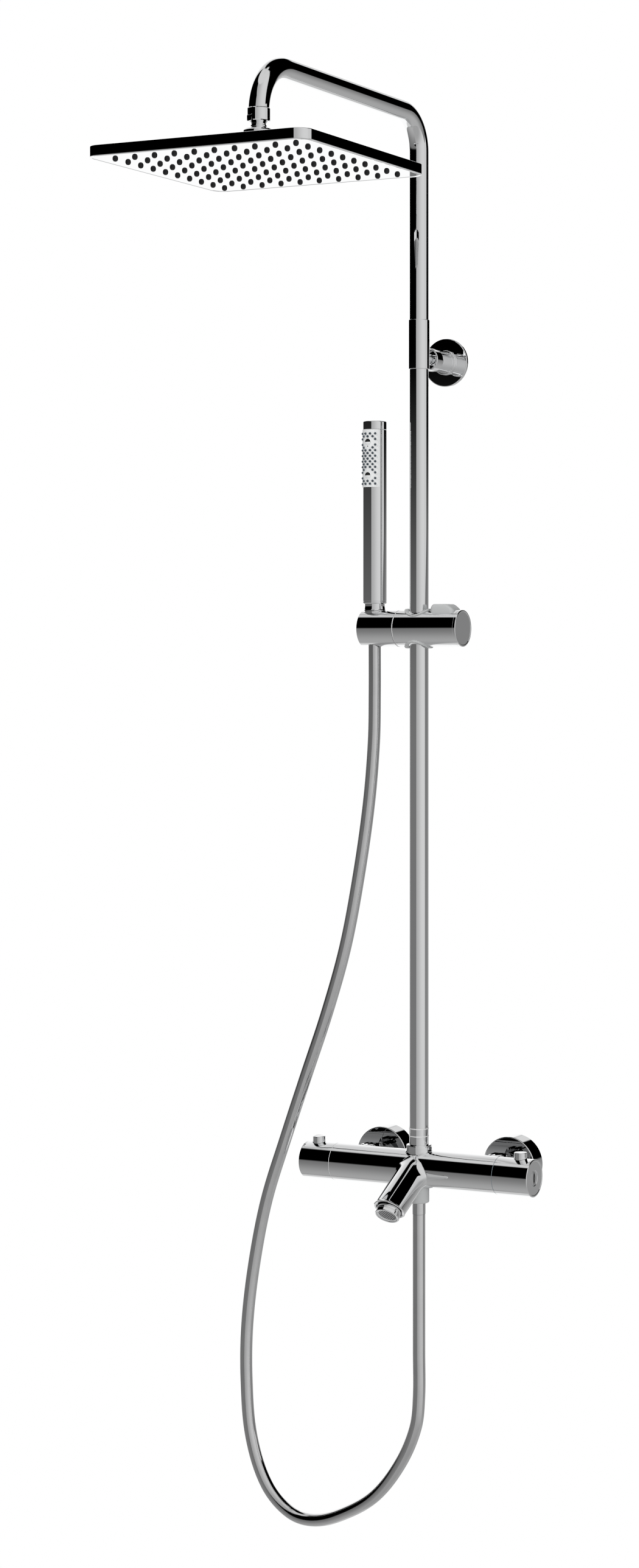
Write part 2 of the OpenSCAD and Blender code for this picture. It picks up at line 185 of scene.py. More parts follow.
CHROME = Finish("polished_chrome", "chrome", (0.93, 0.935, 0.94), 1.0, 0.012, 0.03, 60.0)
PLATED = Finish("plated_chrome", "plated_plastic", (0.92, 0.925, 0.93), 1.0, 0.015, 0.035, 70.0)
RING = Finish("bright_ring", "satin_ring", (0.93, 0.93, 0.93), 0.1, 0.3, 0.4, 120.0)
BLUE_RING = Finish("blue_grey_ring", "blue_ring", (0.20, 0.26, 0.30), 0.3, 0.25, 0.4, 120.0)
SATIN = Finish("satin_grey", "satin_grey", (0.36, 0.36, 0.365), 0.1, 0.30, 0.42, 200.0,
               2600.0, 0.00002, 0.25, 0.05)
HOSE = Finish("silver_hose", "hose_skin", (0.80, 0.80, 0.805), 1.0, 0.07, 0.13, 60.0, 900.0,
              0.00001, 0.15, 0.04)
WHITE = Finish("white_plastic", "white_plastic", (0.60, 0.60, 0.605), 0.0, 0.34, 0.44, 150.0,
               shade=0.02, coat=0.1)
NOZZLE = Finish("blue_grey_silicone", "nozzle_blue", (0.10, 0.125, 0.15), 0.3, 0.22, 0.3, 800.0,
                shade=0.15, coat=0.2)
# A darker chrome that paints the mixer's shade on the covers' front faces.
PAINTED_SHADE_CHROME = Finish("painted_shade_chrome", "chrome", (0.22, 0.222, 0.225), 1.0, 0.02, 0.04, 60.0)
DARK_NOZZLE = Finish("dark_silicone", "nozzle_grey", (0.010, 0.010, 0.012), 0.0, 0.38, 0.5, 500.0,
                     3000.0, 0.00002, 0.3, 0.2)
BRASS = Finish("machined_brass", "brass", (0.75, 0.55, 0.24), 1.0, 0.2, 0.35, 300.0, 1500.0,
               0.00002, 0.3, 0.1)
STEEL = Finish("plain_steel", "steel", (0.32, 0.32, 0.33), 1.0, 0.25, 0.4, 300.0, 1500.0,
               0.00002, 0.3, 0.1)
RUBBER = Finish("black_rubber", "rubber", (0.02, 0.02, 0.02), 0.0, 0.6, 0.8, 300.0, 2500.0,
                0.00003, 0.4, 0.2)
INNER = Finish("grey_plastic", "inner_plastic", (0.30, 0.30, 0.31), 0.0, 0.45, 0.6, 300.0,
               2500.0, 0.00003, 0.3, 0.1)
MESH = Finish("wire_mesh", "mesh", (0.75, 0.75, 0.76), 1.0, 0.12, 0.3, 400.0)


# ---------------------------------------------------------------- surfaces


@dataclass
class Shape:
    """A surface as arrays: points, four-sided faces and three-sided faces."""

    points: np.ndarray
    quads: np.ndarray
    tris: np.ndarray = field(default_factory=lambda: np.zeros((0, 3), int))

    def moved(self, offset: Vec) -> "Shape":
        """A copy, shifted by an offset in millimetres."""
        return Shape(self.points + np.asarray(offset, float), self.quads, self.tris)


def join(shapes: Iterable[Shape]) -> Shape:
    """Puts several surfaces in one.

    Args:
        shapes: the surfaces.
    Returns:
        One surface with all their points and faces.
    """
    shapes = list(shapes)
    starts = np.cumsum([0] + [len(s.points) for s in shapes[:-1]])
    return Shape(np.concatenate([s.points for s in shapes]),
                 np.concatenate([s.quads + i for s, i in zip(shapes, starts)]),
                 np.concatenate([s.tris + i for s, i in zip(shapes, starts)]))


def repeat(shape: Shape, places: np.ndarray, turns: np.ndarray | None = None) -> Shape:
    """Copies a small surface to many places at once.

    Each copy's points are its turn matrix times the points, plus its place.

    Args:
        shape: the surface to copy.
        places: one offset a copy, in millimetres.
        turns: one 3 by 3 matrix a copy, or none.
    Returns:
        All the copies as one surface.
    """
    count, n = len(places), len(shape.points)
    turns = np.broadcast_to(np.eye(3), (count, 3, 3)) if turns is None else turns
    points = np.einsum("kij,nj->kni", turns, shape.points) + places[:, None, :]
    step = (np.arange(count) * n)[:, None, None]
    return Shape(points.reshape(-1, 3), (shape.quads[None] + step).reshape(-1, 4),
                 (shape.tris[None] + step).reshape(-1, 3))


def skin(rings: np.ndarray, start: Vec | None = None, end: Vec | None = None,
         loop: bool = False) -> Shape:
    """Covers a stack of closed rings.

    Args:
        rings: an array of rings, points round a ring, and three numbers.
        start: the pole before the first ring, if that end closes in a point.
        end: the pole after the last ring.
        loop: whether the last ring joins the first.
    Returns:
        The surface.
    """
    k, n, _ = rings.shape
    rows = np.arange(k if loop else k - 1)[:, None]
    cols = np.arange(n)[None, :]
    here, there = rows * n, ((rows + 1) % k) * n
    quads = np.stack([here + cols, here + (cols + 1) % n, there + (cols + 1) % n, there + cols],
                     -1).reshape(-1, 4)
    points, tris = [rings.reshape(-1, 3)], []
    around = np.arange(n)
    for pole, base in ((start, 0), (end, (k - 1) * n)):
        if pole is not None:
            tip = np.full(n, k * n + len(tris))
            tris.append(np.stack([base + around, base + (around + 1) % n, tip], -1))
            points.append(np.asarray(pole, float)[None])
    return Shape(np.concatenate(points), quads,
                 np.concatenate(tris) if tris else np.zeros((0, 3), int))


def circle(sides: int) -> np.ndarray:
    """Equal angles once round."""
    return np.linspace(0, TURN, sides, endpoint=False)


def basis(axis: Vec) -> tuple[np.ndarray, np.ndarray, np.ndarray]:
    """Two unit vectors across an axis and one along it."""
    w = np.asarray(axis, float) / np.linalg.norm(axis)
    u = np.array([1.0, 0.0, 0.0]) if abs(w[0]) < 0.9 else np.array([0.0, 1.0, 0.0])
    u = u - w * (u @ w)
    u /= np.linalg.norm(u)
    return u, np.cross(w, u), w


def rounded(corners: Sequence[Vec], closed: bool = False, segments: int = 5) -> np.ndarray:
    """A profile whose corners are arcs.

    Each corner is a circle's arc, written as a rational curve of the corner and its two
    tangent points, with one more point just outside each tangent to hold the flats flat.

    Args:
        corners: (along, out, radius of the arc) for each corner.
        closed: whether the profile returns to its first corner.
        segments: steps in each arc.
    Returns:
        The profile's points, (along, out).
    """
    data = np.asarray(corners, float)
    p, r = data[:, :2], data[:, 2]
    pieces: list[np.ndarray] = []
    t = np.linspace(0, 1, segments + 1)[:, None]
    for i in range(len(p)):
        if (i in (0, len(p) - 1) and not closed) or r[i] <= 0:
            pieces.append(p[i][None])
            continue
        a, b = p[i - 1] - p[i], p[(i + 1) % len(p)] - p[i]
        la, lb = np.linalg.norm(a), np.linalg.norm(b)
        a, b = a / la, b / lb
        half = 0.5 * np.arccos(np.clip(a @ b, -1, 1))
        reach = min(r[i] / np.tan(half), 0.46 * la, 0.46 * lb)
        weight = np.sin(half)
        q0, q1, q2 = p[i] + a * reach, p[i], p[i] + b * reach
        top = (1 - t) ** 2 * q0 + 2 * t * (1 - t) * weight * q1 + t ** 2 * q2
        arc = top / ((1 - t) ** 2 + 2 * t * (1 - t) * weight + t ** 2)
        out = min(0.12, 0.03 * min(la, lb))
        pieces += [(q0 + a * out)[None], arc, (q2 + b * out)[None]]
    return np.concatenate(pieces)


def lathe(corners: Sequence[Vec], origin: Vec = (0, 0, 0), axis: Vec = (0, 0, 1),
          closed: bool = False, sides: int = 96, segments: int = 5) -> Shape:
    """Turns a rounded profile about an axis.

    A point at (along, out) becomes origin + along * axis + out * (cos a * u + sin a * v).

    Args:
        corners: (along, out, radius of the arc); an open profile starts and ends on the axis.
        origin: a point of the axis, in millimetres.
        axis: the axis.
        closed: whether the profile closes on itself, as for a tube.
        sides: steps round the axis.
        segments: steps in each rounded corner.
    Returns:
        The closed surface.
    """
    line = rounded(corners, closed, segments)
    u, v, w = basis(axis)
    angle = circle(sides)
    out = np.cos(angle)[:, None] * u + np.sin(angle)[:, None] * v
    origin = np.asarray(origin, float)
    body = line if closed else line[1:-1]
    rings = origin + body[:, 0][:, None, None] * w + body[:, 1][:, None, None] * out[None]
    if closed:
        return skin(rings, loop=True)
    return skin(rings, origin + line[0, 0] * w, origin + line[-1, 0] * w)


def tube(low: float, high: float, outer: float, bore: float, edge: float, **place) -> Shape:
    """A straight tube with rounded edges, from low to high along its axis."""
    return lathe([(low, outer, edge), (high, outer, edge), (high, bore, edge / 2),
                  (low, bore, edge / 2)], closed=True, **place)


def solid(low: float, high: float, radius: float, edge: float, **place) -> Shape:
    """A solid round bar with rounded edges, from low to high along its axis."""
    return lathe([(low, 0, 0), (low, radius, edge), (high, radius, edge), (high, 0, 0)], **place)


def sweep(path: np.ndarray, radius: float, sides: int, side: Vec = (0, 1, 0)) -> Shape:
    """A round bar along a flat path.

    The ring at each point is radius * (cos a * side + sin a * (tangent x side)).

    Args:
        path: the centre line, in millimetres, in a plane across side.
        radius: the bar's radius.
        sides: steps round it.
        side: the direction across the path's plane.
    Returns:
        The closed surface.
    """
    tangent = np.gradient(path, axis=0)
    tangent /= np.linalg.norm(tangent, axis=1)[:, None]
    across = np.asarray(side, float)
    up = np.cross(tangent, across)
    angle = circle(sides)[None, :, None]
    rings = path[:, None] + radius * (np.cos(angle) * across + np.sin(angle) * up[:, None])
    return skin(rings, path[0], path[-1])


def covered(name: str, shape: Shape, finish: Finish, sharp: float) -> bpy.types.Object:
    """An object of a surface in millimetres, smooth but for its crisp edges.

    Args:
        name: the object's name.
        shape: its surface.
        finish: its finish.
        sharp: edges that turn by more than this many degrees stay crisp.
    Returns:
        The object, in the scene.
    """
    mesh = bpy.data.meshes.new(name)
    mesh.from_pydata((shape.points * MM).tolist(), [], shape.quads.tolist() + shape.tris.tolist())
    work = bmesh.new()
    work.from_mesh(mesh)
    bmesh.ops.recalc_face_normals(work, faces=work.faces)
    work.to_mesh(mesh)
    work.free()
    mesh.shade_smooth()
    mesh.set_sharp_from_angle(angle=np.radians(sharp))
    mesh.materials.append(finish.material())
    piece = bpy.data.objects.new(name, mesh)
    bpy.context.scene.collection.objects.link(piece)
    return piece


def make(name: str, shape: Shape, finish: Finish, body: Body, nodes: Sequence[str] = (),
         sharp: float = 38.0) -> bpy.types.Object:
    """Makes a piece and hangs it on its body.

    Args:
        name, shape, finish, sharp: as for covered.
        body: the body that it moves with.
        nodes: the plain solids that it stands for.
    Returns:
        The piece.
    """
    piece = covered(name, shape, finish, sharp)
    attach(piece, body.value)
    if nodes:
        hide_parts(*nodes)
    log.info("%s: %d faces on %s", name, len(piece.data.polygons), body.value)
    return piece


def dress(node: str, finish: Finish) -> None:
    """Gives a plain solid that stays in view its finish."""
    material = finish.material()
    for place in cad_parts[node].material_slots:
        place.material = material


def saddle_rings(levels: Sequence[tuple[float, float, float]], radius: float, reach: float,
                 centre: Vec, sides: int = 96) -> np.ndarray:
    """Rings that follow a lying cylinder and become level further up.

    At angle a the saddle stands at y = reach * sin a, where the cylinder's height is
    sqrt(radius^2 - y^2). A ring takes its share of that height.

    Args:
        levels: (out, height, share of the saddle) for each ring.
        radius: the lying cylinder's radius.
        reach: the radius at which the saddle is taken.
        centre: the point on the cylinder's axis below the rings.
        sides: steps round.
    Returns:
        The rings.
    """
    angle = circle(sides)
    wave = np.sqrt(radius ** 2 - (reach * np.sin(angle)) ** 2)
    out, height, share = (np.array(c)[:, None] for c in zip(*levels))
    z = height + share * wave[None]
    rings = np.stack([out * np.cos(angle), out * np.sin(angle), z], -1)
    return rings + np.asarray(centre, float)


# ---------------------------------------------------------------- sub-assemblies


@dataclass
class Hose:
    """The flexible hose from the outlet under the mixer to the hand shower."""

    radius: float = 6.6
    sides: int = 32
    steps: int = 8
    route: tuple[tuple[float, float], ...] = (
        (-52, 575), (-52, 540), (-52, 490), (-53, 440), (-59, 375), (-71, 300), (-87, 225),
        (-109, 155), (-134, 88), (-159, 20), (-182, -46), (-197, -113), (-206, -180),
        (-207, -240), (-201, -300), (-182, -349), (-153, -375), (-122, -379), (-85, -366),
        (-50, -343), (-21, -306), (-4, -268), (0, -235), (0, -190), (0, -140), (0, -90),
        (0, -47))

    def line(self) -> np.ndarray:
        """The centre line from the outlet up to the hand shower.

        Between two knots a and b, with slopes s and e: a * (1 - h) + b * h
        + g * s * (t - 2 t^2 + t^3) + g * e * (t^3 - t^2), where h = 3 t^2 - 2 t^3 and g is
        the distance from a to b.

        Returns:
            The points, in millimetres.
        """
        knots = np.array(self.route, float)[::-1]
        around = np.concatenate([knots[:1], knots, knots[-1:]])
        slope = around[2:] - around[:-2]
        slope /= np.linalg.norm(slope, axis=1)[:, None]
        a, b = knots[:-1, None], knots[1:, None]
        gap = np.linalg.norm(b - a, axis=2, keepdims=True)
        t = (np.arange(self.steps) / self.steps)[None, :, None]
        h = 3 * t ** 2 - 2 * t ** 3
        flat = (a * (1 - h) + b * h + gap * slope[:-1, None] * (t - 2 * t ** 2 + t ** 3)
                + gap * slope[1:, None] * (t ** 3 - t ** 2)).reshape(-1, 2)
        flat = np.concatenate([flat, knots[-1:]])
        return np.stack([flat[:, 0], np.full(len(flat), AXIS_Y), flat[:, 1]], 1)

    def build(self) -> None:
        path = self.line()
        piece = covered("shower_hose", sweep(path, self.radius, self.sides), HOSE, 40.0)
        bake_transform(piece)
        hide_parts("hose")


@dataclass
class WallInlets:
    """Flanges, union nuts and inlet stubs on the wall side of the mixer."""

    half: float = INLET
    flange: float = 29.5
    depth: float = 20.7
    nut: float = 15.0

    def hexagon(self, low: float, high: float) -> Shape:
        """A six-sided nut with turned corners.

        The distance to the flats is nut / cos of the angle from the nearest flat's
        middle, and no more than the turned radius of that end.
        """
        angle = circle(96)
        off = (angle + np.pi / 6) % (np.pi / 3) - np.pi / 6
        edge = self.nut / np.cos(off)
        levels = [(low, 10.2, 0.3), (low, 14.9, 0.2), (low + 1.3, 18, 0), (high - 1.3, 18, 0),
                  (high, 14.9, 0.2), (high, 12.0, 0.3)]
        y, limit, _ = (np.array(c)[:, None] for c in zip(*levels))
        out = np.minimum(edge[None], limit)
        rings = np.stack([out * np.sin(angle), y + 0 * out, out * np.cos(angle)], -1)
        return skin(rings, loop=True)

    def shade_face(self, piece: bpy.types.Object, side: int) -> None:
        """Paints the shade that the mixer casts on a cover's front face, as a darker chrome.

        A face takes it if its middle lies on the front plane, inside the rounded rim.
        """
        mesh = piece.data
        mesh.materials.append(PAINTED_SHADE_CHROME.material())
        middle = np.empty(3 * len(mesh.polygons))
        mesh.polygons.foreach_get("center", middle)
        middle = middle.reshape(-1, 3) / MM
        out = np.hypot(middle[:, 0] - side * self.half, middle[:, 2])
        front = (middle[:, 1] < -self.depth + 0.05) & (out < self.flange - 1.0)
        mesh.polygons.foreach_set("material_index", front.astype(np.int32))
        mesh.update()

    def build(self) -> None:
        """Makes both inlets."""
        for side, word in ((-1, "left"), (1, "right")):
            at = (side * self.half, 0, 0)
            cover = lathe([(-self.depth, 12.6, 0.3), (-self.depth, self.flange, 1.1),
                           (0, self.flange, 0.3), (0, self.flange - 2, 0.3),
                           (-self.depth + 3, self.flange - 2, 0.5), (-self.depth + 3, 12.6, 0.3)],
                          at, (0, 1, 0), closed=True, sides=128)
            piece = make(f"{word}_cover", cover, CHROME, Body.COLUMN, [f"{word}_wall_flange"])
            self.shade_face(piece, side)
            dress(f"{word}_wall_union", CHROME)
        nuts = join(self.hexagon(-52, -34).moved((s * self.half, 0, 0)) for s in (-1, 1))
        make("inlet_nuts", nuts, CHROME, Body.COLUMN, ["union_nuts"], 25.0)
        dress("filter_washers", RUBBER)


@dataclass
class Mixer:
    """The barrel, its seams and the two turning ends with their buttons."""

    radius: float = BARREL
    half: float = 132.4
    flow_seam: float = 96.4
    warm_seam: float = 92.8
    flow_button: float = -118.3
    warm_button: float = 116.6
    button_top: float = 25.3
    cap_depth: float = 3.0
    centre: tuple[float, float, float] = (0, AXIS_Y, 0)

    def barrel(self) -> None:
        """The barrel with its inlet stubs, and a bright ring at each seam."""
        shape = solid(-self.flow_seam + 0.2, self.warm_seam - 0.2, self.radius, 0.06,
                      origin=self.centre, axis=(1, 0, 0), sides=160)
        stubs = [tube(12, 29, 10, 7.5, 0.3, origin=(s * INLET, AXIS_Y, 0), axis=(0, 1, 0))
                 for s in (-1, 1)]
        roots = [lathe([(14, 0, 0), (14, 13.2, 0.2), (20.3, 13.2, 1.0), (20.3, 0, 0)],
                       (s * INLET, AXIS_Y, 0), (0, 1, 0)) for s in (-1, 1)]
        make("mixer_barrel", join([shape, *stubs, *roots]), CHROME, Body.COLUMN, ["mixer_body"])
        for name, at, finish in (("left_seam_ring", -self.flow_seam, RING),
                                 ("right_seam_ring", self.warm_seam, BLUE_RING)):
            ring = solid(at - 0.2, at + 0.2, self.radius - 0.05, 0.05, origin=self.centre,
                         axis=(1, 0, 0), sides=160)
            make(f"{name}_trim", ring, finish, Body.COLUMN, [name])

    def knob(self, start: float, side: int) -> Shape:
        """A turning end: a short barrel that reaches to its cap.

        Its last ring is doubled, which sets how the edge beside the cap is shaded.
        """
        end = self.half - self.cap_depth
        return lathe([(start, 0, 0), (start, self.radius, 0.06), (end, self.radius, 0),
                      (end, self.radius, 0), (end, 0, 0)], self.centre, (side, 0, 0), sides=160)

    def cap(self, side: int, recess: bool) -> Shape:
        """The end cap: a disc with a narrow rim, and a round keyed recess if asked."""
        end = self.half
        start = end - self.cap_depth
        rim = [(start, 0, 0), (start, self.radius, 0), (end, self.radius, 1.1)]
        face = [(end, 17.4, 0.2), (end - 0.35, 17.0, 0.2)]
        if recess:
            face += [(end - 0.35, 8.1, 0.12), (end - 1.0, 7.9, 0.12), (end - 1.0, 7.3, 0.1),
                     (end - 0.7, 7.2, 0.1), (end - 0.7, 0, 0)]
        else:
            face += [(end - 0.35, 0, 0)]
        return lathe(rim + face, self.centre, (side, 0, 0), sides=160)

    def button(self, x: float) -> Shape:
        """A push button with a chamfered, slightly dished top."""
        top = self.button_top
        return lathe([(13, 0, 0), (13, 6.6, 0.2), (top, 6.6, 0.7), (top, 5.2, 0.2),
                      (top - 0.15, 5.0, 0.2), (top - 0.15, 0, 0)], (x, AXIS_Y, 0), sides=80)

    def well(self, x: float) -> Shape:
        """A thin dark ring on the barrel's curve, round a button's hole."""
        levels = [(6.4, -0.25, 1.0), (6.4, 0.04, 1.0), (6.85, 0.04, 1.0), (6.85, -0.25, 1.0)]
        rings = saddle_rings(levels, self.radius, 6.7, (x, AXIS_Y, 0), 80)
        return skin(rings, loop=True)

    def build(self) -> None:
        """Makes the whole mixer."""
        self.barrel()
        sets = ((-1, self.flow_seam, self.flow_button, Body.FLOW, Body.FLOW_PUSH, "flow"),
                (1, self.warm_seam, self.warm_button, Body.TEMPERATURE, Body.TEMPERATURE_PUSH,
                 "temperature"))
        for side, seam, x, body, push, word in sets:
            make(f"{word}_grip", self.knob(seam + 0.2, side), PLATED, body, [f"{word}_knob"])
            make(f"{word}_end_cap", self.cap(side, side > 0), PLATED, body, [f"{word}_cap"])
            make(f"{word}_button_well", self.well(x), RUBBER, body)
            make(f"{word}_push_button", self.button(x), PLATED, push, [f"{word}_button"])
            dress(f"{word}_spindle", BRASS)
        slots = []
        for out, wide, tall in ((-1.2, 0.8, 6.4), (1.6, 1.0, 6.6)):
            bow = solid(self.half - 1.0, self.half - 0.62, 1.0, 0.08, axis=(1, 0, 0), sides=48)
            bow.points[:, 2] *= tall
            bow.points[:, 1] = bow.points[:, 1] * wide + out - 0.035 * bow.points[:, 2] ** 2 * out
            slots.append(bow)
        make("temperature_key_slot", join(slots).moved(self.centre), RUBBER, Body.TEMPERATURE)
        dress("flow_cartridge", INNER)
        dress("thermostatic_cartridge", INNER)


@dataclass
class Spout:
    """The bath spout with its rim, aerator and woven insert."""

    radius: float = 16.0
    slope: float = 28.5
    end_slope: float = 49.0
    length: float = 73.5
    root: tuple[float, float, float] = (0, AXIS_Y, 3.6)

    def frame(self) -> tuple[np.ndarray, np.ndarray, np.ndarray, np.ndarray]:
        """The spout's end centre, its running direction, the end's normal and up vector."""
        a, b = np.radians(self.slope), np.radians(self.end_slope)
        run = np.array([0, -np.cos(a), -np.sin(a)])
        face = np.array([0, -np.cos(b), -np.sin(b)])
        return np.array(self.root) + run * self.length, run, face, np.array([1.0, 0, 0])

    def shell(self) -> Shape:
        """The pipe: a trumpet where it leaves the barrel, cut slantwise at its rim.

        A line of the pipe at angle a meets the barrel where its distance from the barrel's
        axis is the barrel's radius, a root of a quadratic in the distance run. Beyond that
        the radius is r + f * (1 - d / reach)^2, d being the distance run, and f larger on
        the upper side. The rim's rings are the ellipse of the cut, shrunk and set in.
        """
        end, run, face, across = self.frame()
        up = np.cross(run, across)
        angle = circle(160)[:, None]
        out = np.cos(angle) * across + np.sin(angle) * up
        out *= np.where(up[2] < 0, -1, 1)
        wall = self.radius * out
        rim = end + wall - ((wall @ face) / (run @ face))[:, None] * run
        start = np.array(self.root) + wall - np.array([0, AXIS_Y, 0])
        a = run[1] ** 2 + run[2] ** 2
        b = 2 * (start[:, 1] * run[1] + start[:, 2] * run[2])
        c = start[:, 1] ** 2 + start[:, 2] ** 2 - BARREL ** 2
        meet = (-b + np.sqrt(np.maximum(b ** 2 - 4 * a * c, 0))) / (2 * a)
        foot = start + np.array([0, AXIS_Y, 0]) + meet[:, None] * run
        long = ((rim - foot) @ run)[:, None]
        lift = 0.5 + 0.5 * np.clip(out[:, 2:3] / 0.88, -1, 1)
        swell, reach = 0.9 + 1.6 * np.abs(out[:, :1]) ** 2, 8.0 + 5.0 * lift
        share = np.concatenate([[-0.12, -0.05], np.linspace(0, 1, 26) ** 1.5])
        rings = []
        for k in share:
            d = k * (long - 3.0)
            flare = swell * np.clip(1 - d / reach, 0, 1) ** 2 + 20 * min(k, 0)
            rings.append(foot + d * run + flare * out)
        levels = [(1.0, 0.0, -2.6), (1.0, 0.0, -1.1), (1.012, 0.0, -0.9), (1.022, 0.0, -0.4),
                  (1.018, 0.0, 0.1), (0.995, 0.35, 0.0), (0.955, 0.45, 0.0), (0.90, 0.35, 0.0),
                  (0.865, 0.0, 0.0), (0.855, -0.5, 0.0), (0.85, -3.0, 0.0), (0.84, -4.0, 0.0),
                  (0.6, -4.0, 0.0)]
        rings += [end + (rim - end) * s + face * d + run * b for s, d, b in levels]
        return skin(np.array(rings), rings[0].mean(0), end - face * 4.0)

    def aerator(self) -> Shape:
        """The aerator's housing: a short sleeve with two steps."""
        end, _, face, _ = self.frame()
        return lathe([(-6, 12.8, 0.2), (3.4, 12.8, 0.25), (3.6, 12.45, 0.1), (4.2, 12.45, 0.1),
                      (4.4, 12.8, 0.25), (8, 12.8, 0.7), (8, 11.2, 0.4), (6.4, 10.9, 0.2),
                      (-6, 10.9, 0.1)], end, face, closed=True)

    def inner_ring(self) -> Shape:
        """The light ring inside the aerator's mouth."""
        end, _, face, _ = self.frame()
        return tube(2, 7.1, 10.9, 9.5, 0.35, origin=end, axis=face)

    def weave(self) -> Shape:
        """A woven disc: wires both ways, each a wave over and under its neighbours.

        A wire at offset c runs along s with height 0.34 * cos(pi * s / pitch + phase),
        the phase turning by half a wave from wire to wire and between the two ways.
        """
        end, _, face, _ = self.frame()
        u, v, w = basis(face)
        pitch, limit, sides = 1.3, 9.6, 5
        offsets = np.arange(-7, 8) * pitch
        shapes = []
        for way, (along, across) in enumerate(((u, v), (v, u))):
            for i, c in enumerate(offsets):
                half = np.sqrt(max(limit ** 2 - c ** 2, 0.5))
                s = np.linspace(-half, half, 72)
                h = 0.34 * np.cos(np.pi * s / pitch + np.pi * (i + way))
                path = (end + s[:, None] * along + c * across + (6.0 + h)[:, None] * w)
                shapes.append(sweep(path, 0.22, sides, across))
        return join(shapes)

    def build(self) -> None:
        """Makes the spout and what is in its mouth."""
        make("bath_spout", self.shell(), CHROME, Body.COLUMN, ["spout", "spout_rim"])
        make("aerator_sleeve", self.aerator(), CHROME, Body.COLUMN, ["aerator_housing"])
        make("aerator_ring", self.inner_ring(), WHITE, Body.COLUMN)
        make("aerator_insert", self.weave(), MESH, Body.COLUMN, ["aerator_mesh"])
        end, _, face, _ = self.frame()
        # A black disc behind the woven insert paints the shade deep inside the aerator; its rubber
        # finish stands for that shade.
        make("aerator_shade", solid(-3.0, 5.0, 10.4, 0.2, origin=end, axis=face), RUBBER,
             Body.COLUMN)


@dataclass
class Riser:
    """The foot collar, the riser, its sleeve and the bent arm."""

    radius: float = 10.0
    bore: float = 8.5
    join_z: float = 850.5
    arm_z: float = 1086.75
    rear: float = 37.5
    front: float = 50.0

    def collar(self) -> Shape:
        """The foot collar, whose flared lip follows the barrel."""
        levels = [(10.1, -3.0, 1.0), (13.2, -3.0, 1.0), (14.0, -0.15, 1.0), (13.95, 0.25, 1.0),
                  (13.5, 0.75, 1.0), (13.12, 1.5, 1.0), (13.0, 2.6, 1.0), (13.0, 22.0, 0.0),
                  (13.0, 24.3, 0.0), (12.9, 24.7, 0.0), (12.6, 25.0, 0.0), (10.1, 25.0, 0.0)]
        return skin(saddle_rings(levels, BARREL, 13.5, (0, AXIS_Y, 0)), loop=True)

    def arm(self) -> Shape:
        """The bent tube: up, round the rear bend, out, and down the front bend."""
        turn = np.linspace(0, np.pi / 2, 25)
        rear_y, front_y = AXIS_Y - self.rear, HEAD_Y + self.front
        up = np.array([[AXIS_Y, self.join_z], [AXIS_Y, self.arm_z - self.rear - 1]])
        first = np.stack([rear_y + self.rear * np.cos(turn),
                          self.arm_z - self.rear + self.rear * np.sin(turn)], 1)
        second = np.stack([front_y - self.front * np.sin(turn),
                           self.arm_z - self.front + self.front * np.cos(turn)], 1)
        flat = np.concatenate([up, first, second])
        return sweep(np.insert(flat, 0, 0.0, axis=1), self.radius, 96, (1, 0, 0))

    def nut(self) -> Shape:
        """The nut over the ball, with two flats on its lower half.

        Its radius is 10.9, or 9.7 / |cos(a - a0)| on the flats where that is less.
        """
        angle = circle(144)
        flat = 9.7 / np.maximum(np.abs(np.cos(angle - np.radians(240))), 1e-3)
        levels = [(1029, 8.3, 1), (1029, 10.2, 1), (1029.6, 10.9, 1), (1034.3, 10.9, 1),
                  (1034.5, 10.9, 0), (1040.8, 10.9, 0), (1041.5, 10.2, 0), (1041.5, 10.0, 0)]
        z, out, cut = (np.array(c, float)[:, None] for c in zip(*levels))
        radius = np.where(cut > 0, np.minimum(out, flat), out)
        rings = np.stack([radius * np.cos(angle), radius * np.sin(angle), z + 0 * radius], -1)
        return skin(rings + np.array([0, HEAD_Y, 0.0]), loop=True)

    def build(self) -> None:
        """Makes the standing and reaching tubes."""
        at = (0, AXIS_Y, 0)
        make("foot_collar", self.collar(), CHROME, Body.COLUMN, ["riser_collar"])
        screw = lathe([(10, 0, 0), (10, 1.6, 0), (14.2, 1.6, 0.25), (14.2, 0.9, 0.1),
                       (13.2, 0.8, 0), (13.2, 0, 0)], (0, AXIS_Y, 22), (1, 0, 0), sides=32)
        make("collar_grub_screw", screw, STEEL, Body.COLUMN, ["collar_screw"])
        make("riser_foot_tube", tube(20, 33.6, self.radius, self.bore, 0.35, origin=at), CHROME,
             Body.COLUMN, ["riser_foot"])
        make("riser_bright_ring", tube(34.1, 41.5, self.radius, self.bore, 0.35, origin=at),
             CHROME, Body.COLUMN, ["riser_ring"])
        lines = join(tube(z - 0.45, z + 0.45, self.radius + 0.25, self.bore, 0.15, origin=at)
                     for z in (33.9, 41.7))
        make("riser_seam_lines", lines, RING, Body.COLUMN)
        make("riser_tube", tube(42, self.join_z, self.radius, self.bore, 0.35, origin=at),
             CHROME, Body.COLUMN, ["lower_riser"])
        make("riser_sleeve", tube(825, 876, 11.05, self.radius, 0.6, origin=at), CHROME,
             Body.COLUMN, ["coupler_sleeve"])
        make("overhead_arm", self.arm(), CHROME, Body.COLUMN, ["shower_arm"])
        make("ball_nut", self.nut(), CHROME, Body.COLUMN, ["arm_nut"], 25.0)
        dress("riser_spigot", BRASS)


